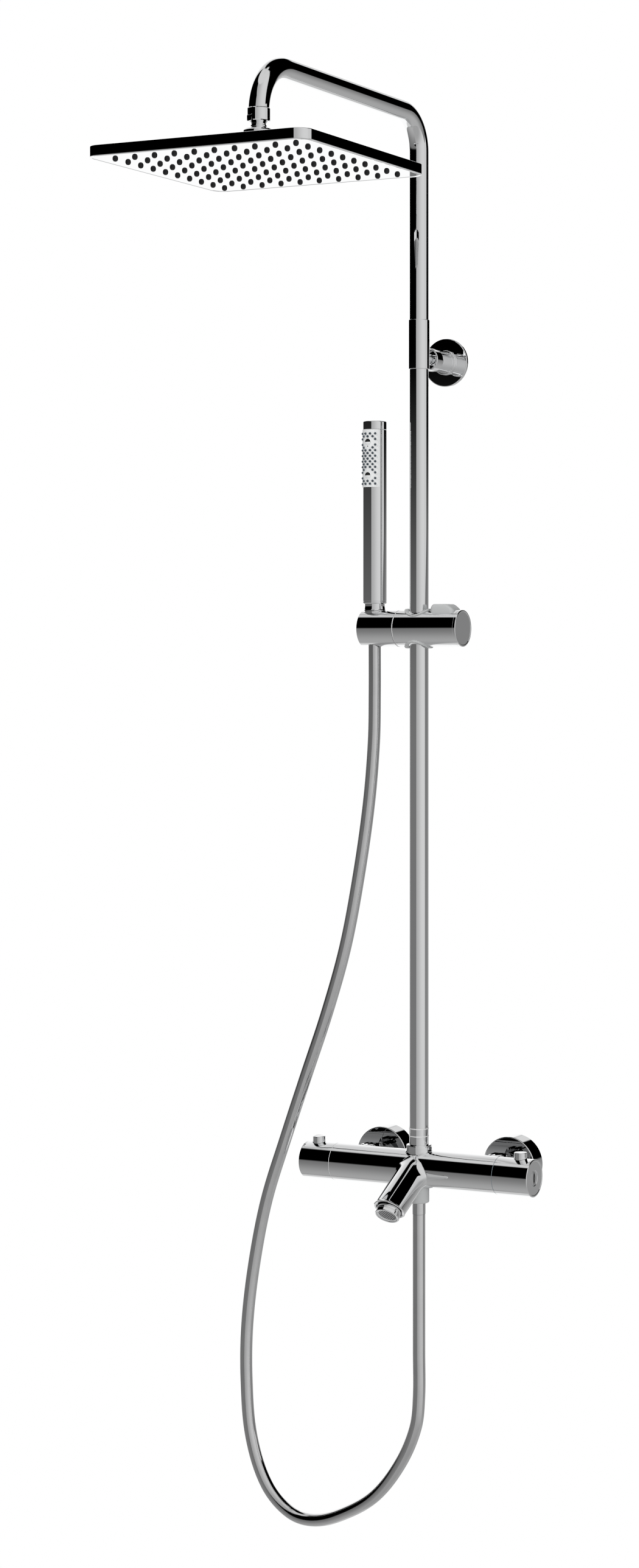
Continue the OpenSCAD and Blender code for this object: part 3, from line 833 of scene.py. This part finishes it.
@dataclass
class Bracket:
    """The wall bracket behind the sleeve."""

    height: float = 837.2

    def build(self) -> None:
        """Makes the pin, cup, stem, bead and disc."""
        at = (0, 0, self.height)
        y = (0, 1, 0)
        pin = lathe([(-72, 0, 0), (-72, 5.4, 0.2), (-66.4, 5.4, 0.2), (-65.6, 4.6, 0.3),
                     (-64.4, 4.6, 0.3), (-63.6, 5.6, 0.4), (-49, 5.6, 0.2), (-49, 0, 0)], at, y)
        make("bracket_link", pin, CHROME, Body.COLUMN, ["bracket_pin"])
        cup = lathe([(-46, 0, 0), (-46, 12, 0.5), (-59, 12, 0.8), (-59, 10.4, 0.4),
                     (-50, 10.0, 0.5), (-50, 0, 0)], at, y)
        make("bracket_socket", cup, CHROME, Body.COLUMN, ["bracket_cup"])
        stem = solid(-46.2, -14.9, 11.2, 0.4, origin=at, axis=y)
        make("bracket_arm", stem, CHROME, Body.COLUMN, ["bracket_stem"])
        bead = tube(-21.3, -18.0, 13.0, 11.0, 1.2, origin=at, axis=y)
        make("bracket_bead", bead, CHROME, Body.COLUMN, ["bracket_ring"])
        disc = lathe([(-14.9, 0, 0), (-14.9, 25.3, 0.2), (-18.1, 25.3, 0.9), (-18.1, 0, 0)],
                     at, y, sides=128)
        make("bracket_rose", disc, CHROME, Body.COLUMN, ["bracket_disc"])
        plug = lathe([(10.6, 0, 0), (10.6, 1.5, 0.0), (11.5, 1.5, 0.2), (11.5, 0.8, 0.1),
                      (10.9, 0.7, 0), (10.9, 0, 0)], (0, -33, self.height), sides=32)
        make("bracket_grub_screw", plug, STEEL, Body.COLUMN)
        screws = join(lathe([(-13.4, 0, 0), (-13.4, 1.3, 0.1), (-14.5, 1.4, 0.1),
                             (-14.5, 4, 0.3), (-12.1, 4, 0.2), (-12.1, 2.6, 0), (0, 2.6, 0.2),
                             (0.2, 2.0, 0.2), (5, 2.0, 0.3), (5, 0, 0)], (x, 0, self.height), y,
                            sides=40) for x in (-11, 11))
        make("bracket_wall_screws", screws, STEEL, Body.COLUMN, ["bracket_screws"])
        dress("bracket_spacer", INNER)


@dataclass
class RainHead:
    """The square head, its nozzles and the ball that it hangs on."""

    half: float = 117.0
    corner: float = 15.0
    top: float = 996.9
    spray_side: float = 986.9
    pitch: float = 21.27
    count: int = 10
    ball_z: float = 1032.0

    def outline(self, inset: float, z: float) -> np.ndarray:
        """A rounded square ring, set in by an amount, at a height.

        Each quarter is an arc of the corner's radius about the corner's centre.
        """
        half = self.half - inset
        radius = max(self.corner - inset, 1.0)
        turn = np.linspace(0, np.pi / 2, 15)
        quarter = np.arange(4)[:, None] * np.pi / 2
        angle = (quarter + turn[None]).ravel()
        centre = (half - radius) * np.sqrt(2)
        middle = (quarter + np.pi / 4 + 0 * turn[None]).ravel()
        return np.stack([radius * np.cos(angle) + centre * np.cos(middle),
                         HEAD_Y + radius * np.sin(angle) + centre * np.sin(middle),
                         np.full(len(angle), z)], 1)

    def plate(self) -> Shape:
        """The plate: flat top, upright sides, a narrow turned-in lip and the spray side."""
        profile = rounded([(self.top, 80, 0), (self.top, 0, 0.7), (987.2, 0, 0.5),
                           (986.8, 0.6, 0.2), (986.35, 1.5, 0.3), (986.5, 2.4, 0.2),
                           (self.spray_side, 3.0, 0.2), (self.spray_side, 80, 0)])
        rings = np.array([self.outline(inset, z) for z, inset in profile])
        return skin(rings, (0, HEAD_Y, self.top), (0, HEAD_Y, self.spray_side))

    def nozzles(self) -> Shape:
        """Ten by ten short nozzles with a hollow tip."""
        one = lathe([(0.6, 0, 0), (0.6, 2.6, 0.1), (-0.5, 2.6, 0.6), (-1.6, 2.35, 0.8),
                     (-2.5, 1.6, 0.7), (-2.85, 0.8, 0.3), (-2.3, 0.4, 0), (-2.2, 0, 0)],
                    sides=22, segments=2)
        line = (np.arange(self.count) - (self.count - 1) / 2) * self.pitch
        x, y = (g.ravel() for g in np.meshgrid(line, line))
        return repeat(one, np.stack([x, y + HEAD_Y, np.full(len(x), self.spray_side)], 1))

    def ball(self) -> Shape:
        """Ball, neck and boss in one turned piece."""
        z = self.ball_z
        arc = np.radians(np.linspace(88, -30, 20))
        ball = [(z + 8.6 * np.sin(a), 8.6 * np.cos(a), 0) for a in arc]
        return lathe([(z + 8.6, 0, 0), *ball, (z - 5.4, 7.0, 0.3), (1025.6, 7.0, 0.2),
                      (1025.2, 7.6, 0.2), (1023.8, 7.6, 0.3), (1023.4, 7.1, 0.2),
                      (1021.6, 7.1, 0.4), (1021.4, 13.2, 0.5), (1019.9, 14.8, 0.4),
                      (self.top - 0.5, 14.8, 0.1), (self.top - 0.5, 0, 0)], (0, HEAD_Y, 0))

    def build(self) -> None:
        """Makes the head and its ball."""
        make("rain_plate", self.plate(), CHROME, Body.HEAD, ["head_plate"], 20.0)
        make("rain_nozzles", self.nozzles(), DARK_NOZZLE, Body.HEAD, ["head_nozzles"])
        make("head_swivel", self.ball(), CHROME, Body.HEAD, ["head_ball"])
        dress("ball_seat", WHITE)


@dataclass
class Slider:
    """The clamp on the riser, its release lever and the tilting holder."""

    radius: float = 18.95
    centre: tuple[float, float, float] = (0, AXIS_Y, SLIDER_Z)

    def lip(self, up: int) -> Shape:
        """The bush's lip, a thin wavy ring that follows the clamp's curve."""
        levels = [(10.3, -2.0, 1.0), (13.0, -2.0, 1.0), (14.6, 0.0, 1.0), (15.0, 0.7, 1.0),
                  (14.6, 1.3, 1.0), (13.6, 1.55, 1.0), (11.2, 1.5, 1.0), (10.4, 1.2, 1.0)]
        rings = saddle_rings(levels, self.radius, 14.0, (0, 0, 0))
        rings[..., 2] *= up
        return skin(rings + np.array(self.centre), loop=True)

    def lever(self) -> Shape:
        """The release pad on top of the barrel, with round corners and a sloped right end.

        Each ring is a rounded rectangle: corner centres plus a radius times the unit
        circle, and its ends move in as (height above the shoulder) ^ 1.3.
        """
        turn = np.linspace(0, np.pi / 2, 9)
        heights = np.concatenate([np.linspace(571.6, 577.4, 5)[:-1], np.linspace(577.4, 582.0, 12)])
        levels = [(z, 0.0) for z in heights] + [(582.3, 0.2), (582.45, 0.55), (582.5, 1.2)]
        rings = []
        for z, inset in levels:
            rise = max(z - 576.2, 0.0) / 6.3
            left, right = 17.7 + 2.6 * rise ** 3 + inset, 44.3 - 7.0 * rise ** 1.3 - inset
            wide = 10.7 - 1.2 * rise ** 4 - inset
            r = 4.0 - inset
            corner = np.array([[right - r, wide - r], [left + r, wide - r], [left + r, r - wide],
                               [right - r, r - wide]])
            angle = turn[None] + np.arange(4)[:, None] * np.pi / 2
            flat = corner[:, None] + r * np.stack([np.cos(angle), np.sin(angle)], -1)
            flat = flat.reshape(-1, 2)
            rings.append(np.column_stack([flat, np.full(len(flat), z)]))
        pad = skin(np.array(rings), (30, 0, 571.6), (28, 0, 582.5))
        return pad.moved((0, AXIS_Y, 0))

    def build(self) -> None:
        """Makes the slider."""
        x = (1, 0, 0)
        clamp = solid(-21.4, 48.4, self.radius, 0.2, origin=self.centre, axis=x, sides=160)
        make("slider_barrel", clamp, PLATED, Body.SLIDER, ["slider_clamp"])
        cap = lathe([(48.4, 0, 0), (48.4, self.radius, 0), (51.4, self.radius, 1.0),
                     (51.4, 17.3, 0.2), (51.0, 17.0, 0.2), (51.0, 0, 0)], self.centre, x,
                    sides=160)
        make("slider_end_cap", cap, PLATED, Body.SLIDER, ["slider_cap"])
        ring = solid(-22.3, -21.4, self.radius - 0.3, 0.1, origin=self.centre, axis=x, sides=160)
        make("slider_seam", ring, RING, Body.SLIDER, ["slider_ring"])
        make("bush_lips", join([self.lip(1), self.lip(-1)]), SATIN, Body.SLIDER, ["slider_bush"])
        make("release_pad", self.lever(), SATIN, Body.RELEASE, ["slider_lever"])
        dress("slider_bolt", STEEL)
        dress("slider_holder", PLATED)


@dataclass
class HandShower:
    """The stick hand shower with its spray plate and nozzles."""

    radius: float = 12.5
    spray_out: float = 12.85
    cap_z: float = 764.3
    top: float = 773.0
    foot: float = 583.3
    plate_low: float = 704.3
    hole_shade_z: float = 746.6
    row_top: float = 759.8
    row_pitch: float = 2.89
    half_angle: float = 62.0
    four: tuple[float, ...] = (-36.6, -12.2, 12.2, 36.6)
    three: tuple[float, ...] = (-24.4, 0.0, 24.4)
    outer: tuple[float, ...] = (-36.6, 36.6)
    inner: tuple[float, ...] = (-24.4, 24.4)
    centre: tuple[float, float, float] = (HAND_X, AXIS_Y, 0)

    def rows(self) -> list[tuple[float, ...]]:
        """The angles of the nozzles in each row, from the top."""
        f, t, o, i = self.four, self.three, self.outer, self.inner
        return [f, t, o, (), o, i, f, t, f, t, f, t, f, i, o, (), o, t, f]

    def on_face(self, angle: np.ndarray, out: float,
                z: np.ndarray) -> tuple[np.ndarray, np.ndarray]:
        """Places and turns of things that stand on the spray face.

        Args:
            angle: angles from the middle of the face, in degrees.
            out: distance from the hand shower's axis.
            z: heights.
        Returns:
            The places, and matrices that turn the Z axis outwards.
        """
        a = FACE_TURN + np.radians(angle)
        normal = np.stack([np.cos(a), np.sin(a), np.zeros_like(a)], 1)
        side = np.stack([-np.sin(a), np.cos(a), np.zeros_like(a)], 1)
        up = np.tile([0.0, 0.0, 1.0], (len(a), 1))
        places = normal * out + up * z[:, None] + np.array(self.centre)
        return places, np.stack([side, up, normal], 2)

    def plate(self) -> Shape:
        """The curved spray plate.

        Its section runs round a sector of a ring, out along the rounded outer face and
        back along the inner one, and its ends are set in by the same rounding.
        """
        z_profile = rounded([(self.plate_low, 0, 0), (self.plate_low, 1, 0.6),
                             (self.cap_z - 0.2, 1, 0.6), (self.cap_z - 0.2, 0, 0)])
        h = np.radians(self.half_angle)
        edge = np.radians(2.0)
        arc = np.linspace(-h + edge, h - edge, 49)
        outer_r, inner_r = self.spray_out, 11.0
        corner = np.linspace(0, np.pi / 2, 5)
        turn_in = 0.55
        first = -h + edge - edge * np.sin(corner)[::-1]
        first_r = outer_r - turn_in + turn_in * np.cos(corner)[::-1]
        angle = np.concatenate([first[:-1], arc, -first[::-1][1:]])
        radius = np.concatenate([first_r[:-1], np.full(49, outer_r), first_r[::-1][1:]])
        back = angle[::-1]
        loop_a = np.concatenate([angle, back]) + FACE_TURN
        loop_r = np.concatenate([radius, np.full(len(back), inner_r)])
        rings = []
        for z, share in z_profile:
            r = np.where(loop_r > inner_r, loop_r - 0.5 * (1 - min(share, 1.0)), loop_r)
            rings.append(np.stack([r * np.cos(loop_a), r * np.sin(loop_a),
                                   np.full(len(r), z)], 1))
        shape = skin(np.array(rings) + np.array(self.centre))
        n, k, m = len(loop_a), len(rings), len(angle)
        j = np.arange(m - 1)
        ends = [np.stack([b + j, b + j + 1, b + n - 2 - j, b + n - 1 - j], 1)
                for b in (0, (k - 1) * n)]
        return Shape(shape.points, np.concatenate([shape.quads, *ends]), shape.tris)

    def nozzles(self) -> Shape:
        """The small nozzles: short domes with a pierced tip."""
        one = lathe([(-0.6, 0, 0), (-0.6, 1.35, 0), (0.25, 1.3, 0.15), (1.25, 0.95, 0.35),
                     (1.25, 0.35, 0.1), (0.8, 0.25, 0), (0.8, 0, 0)], sides=18, segments=3)
        rows = self.rows()
        angle = np.array([a for row in rows for a in row])
        z = np.array([self.row_top - i * self.row_pitch for i, row in enumerate(rows) for _ in row])
        return repeat(one, *self.on_face(angle, self.spray_out, z))

    def jets(self) -> tuple[Shape, Shape]:
        """The two large jets: a shallow dome each, with painted shade in its mouth's upper half.

        The painted shade is the dome's upper half again, a little prouder: rings of half circles
        whose height is h * (1 - (r / r0)^2).
        """
        r0, h = 3.35, 0.75
        out = np.linspace(1, 0, 8)[:-1] * r0
        dome = [(h * (1 - (r / r0) ** 2), r, 0) for r in out]
        one = lathe([(-0.6, 0, 0), (-0.6, r0, 0), *dome, (h, 0, 0)], sides=48)
        turn = np.linspace(0, np.pi, 25)
        r = np.linspace(0.02, 0.99, 8)[:, None] * r0
        grid = np.stack([r * np.cos(turn), r * np.sin(turn),
                         h * (1 - (r / r0) ** 2) + 0.06 + 0 * turn], -1)
        rows, cols = np.arange(7)[:, None], np.arange(24)[None]
        quads = np.stack([rows * 25 + cols, rows * 25 + cols + 1, (rows + 1) * 25 + cols + 1,
                          (rows + 1) * 25 + cols], -1).reshape(-1, 4)[:, ::-1]
        # A dark half disc: painted shade in the upper half of a jet's mouth.
        mouth = Shape(grid.reshape(-1, 3), quads)
        z = np.array([self.row_top - i * self.row_pitch for i in (3, 15)])
        where = self.on_face(np.zeros(2), self.spray_out, z)
        return repeat(one, *where), repeat(mouth, *where)

    def build(self) -> None:
        """Makes the hand shower."""
        at = self.centre
        foot, wide, end = self.foot, self.radius, self.cap_z - 0.25
        body = lathe([(foot, 0, 0), (foot, wide - 0.6, 0.3), (foot + 1.0, wide, 0.4),
                      (foot + 2.4, wide, 0.1), (foot + 2.6, wide - 0.2, 0.1),
                      (foot + 2.9, wide, 0.1), (end, wide, 0.2), (end, 0, 0)], at, sides=128)
        make("hand_shower_barrel", body, PLATED, Body.HANDSET, ["handset_body"])
        cap = lathe([(self.cap_z, 0, 0), (self.cap_z, wide, 0.25), (self.top, wide, 1.0),
                     (self.top, 0, 0)], at, sides=128)
        make("hand_shower_cap", cap, PLATED, Body.HANDSET, ["handset_cap"])
        neck = lathe([(570.5, 0, 0), (570.5, 10.6, 0.2), (575.6, 10.6, 0.3), (576.6, 11.6, 0.5),
                      (577.6, 11.0, 0.4), (580.8, 10.6, 0.6), (foot + 0.3, 10.6, 0.1),
                      (foot + 0.3, 0, 0)], at)
        make("hand_shower_neck", neck, PLATED, Body.HANDSET, ["handset_neck"])
        make("spray_plate", self.plate(), WHITE, Body.HANDSET, ["spray_face"], 30.0)
        make("spray_jets", self.nozzles(), NOZZLE, Body.HANDSET, ["spray_nozzles"])
        domes, painted_shades = self.jets()
        make("massage_jets", domes, WHITE, Body.HANDSET, ["massage_nozzles"])
        # Dark half discs that paint the shade in the jets' mouths.
        make("massage_painted_shades", painted_shades, RUBBER, Body.HANDSET)
        # A flat dark dot paints the shade of a small hole in the spray plate.
        dot = lathe([(-0.4, 0, 0), (-0.4, 0.6, 0), (0.06, 0.6, 0.05), (0.06, 0, 0)], sides=20)
        where = self.on_face(np.zeros(1), self.spray_out, np.array([self.hole_shade_z]))
        make("spray_plate_hole_shade", repeat(dot, *where), RUBBER, Body.HANDSET)
        dress("hose_cone", PLATED)


@dataclass
class Outlet:
    """The nut and ferrule where the hose leaves the mixer."""

    def build(self) -> None:
        """Makes the outlet's two turned parts."""
        at = (0, AXIS_Y, 0)
        nut = lathe([(-12, 0, 0), (-12, 10.7, 0), (-33.9, 10.7, 0.5), (-34.8, 9.8, 0.3),
                     (-34.8, 0, 0)], at)
        make("outlet_nut", nut, SATIN, Body.COLUMN, ["hose_nut"])
        ferrule = lathe([(-30, 0, 0), (-30, 6.85, 0), (-46.8, 6.85, 0.12), (-46.8, 6.3, 0.1),
                         (-44, 6.3, 0), (-44, 0, 0)], at)
        make("hose_end", ferrule, HOSE, Body.COLUMN, ["hose_ferrule"])


# ---------------------------------------------------------------- studio


@dataclass(frozen=True)
class Sums:
    """Sums on directions and levels, made of a world's maths nodes."""

    tree: bpy.types.NodeTree

    def number(self, kind: str, *values: Socket | float) -> Socket:
        """A maths node of one or two values, each a number or another node's output."""
        node = self.tree.nodes.new("ShaderNodeMath")
        node.operation = kind
        for i, value in enumerate(values):
            if isinstance(value, Socket):
                self.tree.links.new(value, node.inputs[i])
            else:
                node.inputs[i].default_value = value
        return node.outputs[0]

    def plus(self, a: Socket | float, b: Socket | float) -> Socket:
        """a + b."""
        return self.number("ADD", a, b)

    def times(self, a: Socket | float, b: Socket | float) -> Socket:
        """a * b."""
        return self.number("MULTIPLY", a, b)

    def most(self, a: Socket | float, b: Socket | float) -> Socket:
        """The larger of a and b."""
        return self.number("MAXIMUM", a, b)

    def rest(self, share: Socket) -> Socket:
        """1 - share."""
        return self.number("SUBTRACT", 1.0, share)

    def rise(self, value: Socket, low: float, high: float) -> Socket:
        """Rises smoothly from 0 to 1 between low and high."""
        node = self.tree.nodes.new("ShaderNodeMapRange")
        node.interpolation_type = "SMOOTHSTEP"
        node.inputs["From Min"].default_value = low
        node.inputs["From Max"].default_value = high
        self.tree.links.new(value, node.inputs["Value"])
        return node.outputs["Result"]

    def edge(self, value: Socket, at: float, soft: float) -> Socket:
        """0 before an edge and 1 after it, with a soft change."""
        return self.rise(value, at - soft, at + soft)

    def between(self, value: Socket, low: float, high: float, soft: float) -> Socket:
        """1 between low and high, with soft edges."""
        return self.times(self.edge(value, low, soft), self.rest(self.edge(value, high, soft)))

    def blend(self, a: Socket | float, b: Socket | float, share: Socket) -> Socket:
        """a where share is 0, b where it is 1."""
        return self.plus(self.times(a, self.rest(share)), self.times(b, share))


@dataclass(frozen=True)
class Zones:
    """Shares of the room's zones, and the panel's level from side to side."""

    panel: Socket
    right: Socket
    left: Socket
    behind: Socket
    glow: Socket


@dataclass(frozen=True)
class Studio:
    """Camera, soft lights, pale floor and the room that the chrome reflects."""

    camera_at: tuple[float, float, float] = (1.41587, -2.77412, 0.53375)
    yaw: float = 25.782
    lens: float = 67.67
    shift_x: float = -0.12657
    shift_y: float = -0.08447
    panel_left: float = -3.0
    panel_right: float = 104.0
    wall_left: float = -112.0
    wall_right: float = 178.0
    corner: float = -160.0
    wall_light: float = 1.02
    floor_grey: float = 0.42

    def camera(self) -> None:
        """Sets the camera."""
        data = bpy.data.cameras.new("camera")
        data.sensor_width = 36.0
        data.sensor_fit = "AUTO"
        data.lens = self.lens
        data.shift_x, data.shift_y = self.shift_x, self.shift_y
        data.clip_end = 50.0
        obj = bpy.data.objects.new("camera", data)
        obj.location = self.camera_at
        obj.rotation_euler = (np.pi / 2, 0, np.radians(self.yaw))
        bpy.context.scene.collection.objects.link(obj)
        bpy.context.scene.camera = obj

    def floor(self) -> None:
        """A pale round floor well below the column."""
        shape = solid(-1180, -1150, 2000, 2, sides=128)
        mesh = bpy.data.meshes.new("floor")
        mesh.from_pydata((shape.points * MM).tolist(), [],
                         shape.quads.tolist() + shape.tris.tolist())
        mesh.materials.append(Finish("pale_floor", "", (0.9, 0.9, 0.9), 0.0, 0.6, 0.7).material())
        piece = bpy.data.objects.new("floor", mesh)
        piece.visible_glossy = False
        bpy.context.scene.collection.objects.link(piece)

    def light(self, name: str, at: Vec, aim: Vec, size: float, watts: float) -> None:
        """A soft square light that mirrors don't show."""
        data = bpy.data.lights.new(name, "AREA")
        data.size, data.energy = size, watts
        obj = bpy.data.objects.new(name, data)
        obj.location = at
        away = np.asarray(at, float) - np.asarray(aim, float)
        yaw = np.arctan2(away[0], -away[1])
        pitch = np.arctan2(np.hypot(away[0], away[1]), away[2])
        obj.rotation_euler = (pitch, 0, yaw)
        obj.visible_glossy = False
        bpy.context.scene.collection.objects.link(obj)

    def zones(self, sums: "Sums", across: Socket, lift: Socket) -> "Zones":
        """Where the panel, the dark sides and the far wall stand.

        The panel's left edge leans to the right high up, and its right edge is set further
        left just above the horizon.
        """
        lean = sums.times(sums.most(sums.plus(lift, -38.0), 0.0), 1.2)
        near = sums.times(sums.rest(sums.edge(lift, 14.0, 2.0)), sums.edge(lift, 1.5, 1.0))
        begun = sums.edge(sums.plus(across, lean), self.panel_left, 1.5)
        done = sums.edge(sums.plus(across, sums.times(near, -24.0)), self.panel_right, 1.5)
        return Zones(
            panel=sums.times(begun, sums.rest(done)),
            right=sums.times(done, sums.rest(sums.edge(across, self.wall_right, 2.0))),
            left=sums.times(sums.edge(across, self.wall_left, 1.5), sums.rest(begun)),
            behind=sums.between(across, self.corner, self.wall_left, 3.0),
            glow=sums.blend(0.42, 0.66, sums.rise(across, -5.0, 72.0)))

    def above(self, sums: "Sums", across: Socket, lift: Socket, zones: "Zones") -> Socket:
        """Levels above the horizon: black sides, the panel, the far wall and the ceiling."""
        tall = sums.blend(zones.glow, 0.60, sums.rise(across, 92.0, 104.0))
        level = sums.blend(0.0, tall, zones.panel)
        top = sums.plus(60.0, sums.times(sums.plus(across, 125.0), 0.62))
        high = sums.blend(self.wall_light, 0.66, sums.rise(lift, 10.0, 52.0))
        over = sums.edge(sums.plus(lift, sums.times(top, -1.0)), 0.0, 4.0)
        level = sums.blend(level, sums.times(high, sums.rest(over)), zones.behind)
        low_wall = sums.times(0.7, sums.rest(sums.edge(lift, 34.0, 2.0)))
        back = sums.between(across, -self.wall_right, self.corner, 2.0)
        level = sums.blend(level, low_wall, back)
        front = sums.between(across, self.wall_left, self.panel_right, 6.0)
        ceiling = sums.times(sums.edge(lift, 59.0, 2.0), front)
        level = sums.blend(level, 0.64, ceiling)
        return sums.blend(level, 0.62, sums.edge(lift, 81.0, 3.0))

    def below(self, sums: "Sums", across: Socket, lift: Socket, zones: "Zones") -> Socket:
        """Levels below the horizon: all zones turn to the floor's grey further down."""
        down = sums.times(lift, -1.0)
        left = sums.blend(0.165, self.floor_grey, sums.rise(down, -8.0, 84.0))
        right = sums.blend(0.17, self.floor_grey, sums.rise(down, -8.0, 36.0))
        right = sums.blend(right, 0.38, sums.rise(across, 142.0, 180.0))
        panel = sums.blend(zones.glow, 0.36, sums.rise(down, 2.0, 44.0))
        wall = sums.blend(self.wall_light, 0.62, sums.edge(down, 48.0, 4.0))
        level = sums.blend(0.56, left, zones.left)
        level = sums.blend(level, panel, zones.panel)
        level = sums.blend(level, right, zones.right)
        level = sums.blend(level, wall, zones.behind)
        return sums.blend(level, self.floor_grey, sums.edge(down, 82.0, 6.0))

    def surround(self) -> None:
        """The room that the chrome reflects: dark above the horizon on both sides of the
        viewer, a light panel behind the viewer, a light ceiling and a light far wall.

        Directions are in degrees: across is 0 straight out from the wall and grows to the
        right, and lift is the height above the horizon. The camera itself sees white.
        """
        world = bpy.data.worlds.new("studio")
        bpy.context.scene.world = world
        world.use_nodes = True
        tree = world.node_tree
        sums = Sums(tree)
        place = tree.nodes.new("ShaderNodeTexCoord")
        split = tree.nodes.new("ShaderNodeSeparateXYZ")
        tree.links.new(place.outputs["Generated"], split.inputs["Vector"])
        degrees = 180.0 / np.pi
        lift = sums.times(sums.number("ARCSINE", split.outputs["Z"]), degrees)
        out = sums.times(split.outputs["Y"], -1.0)
        across = sums.times(sums.number("ARCTAN2", split.outputs["X"], out), degrees)
        zones = self.zones(sums, across, lift)
        horizon = sums.blend(sums.rise(lift, -1.5, 2.0), sums.rise(lift, -2.0, 6.0), zones.left)
        horizon = sums.blend(horizon, sums.rise(lift, 0.5, 4.5), zones.right)
        shade = sums.blend(self.below(sums, across, lift, zones),
                           self.above(sums, across, lift, zones), horizon)
        paths = tree.nodes.new("ShaderNodeLightPath")
        seen = sums.blend(shade, 1.0, paths.outputs["Is Camera Ray"])
        tree.links.new(seen, tree.nodes["Background"].inputs["Color"])

    def build(self) -> None:
        """Makes the studio."""
        self.surround()
        self.floor()
        self.light("key", (-1.6, -2.6, 2.6), (0, -0.2, 0.5), 1.8, 60)
        self.light("fill", (2.6, -2.4, 1.2), (0, -0.1, 0.4), 1.8, 35)
        bpy.context.scene.view_settings.view_transform = "Standard"


def main() -> None:
    """Builds the column, piece by piece, and logs each piece's face count."""
    studio = Studio()
    studio.camera()
    for part in (Hose(), WallInlets(), Mixer(), Spout(), Riser(), Bracket(), RainHead(),
                 Slider(), HandShower(), Outlet()):
        part.build()
    studio.build()


if __name__ == "__main__":
    main()
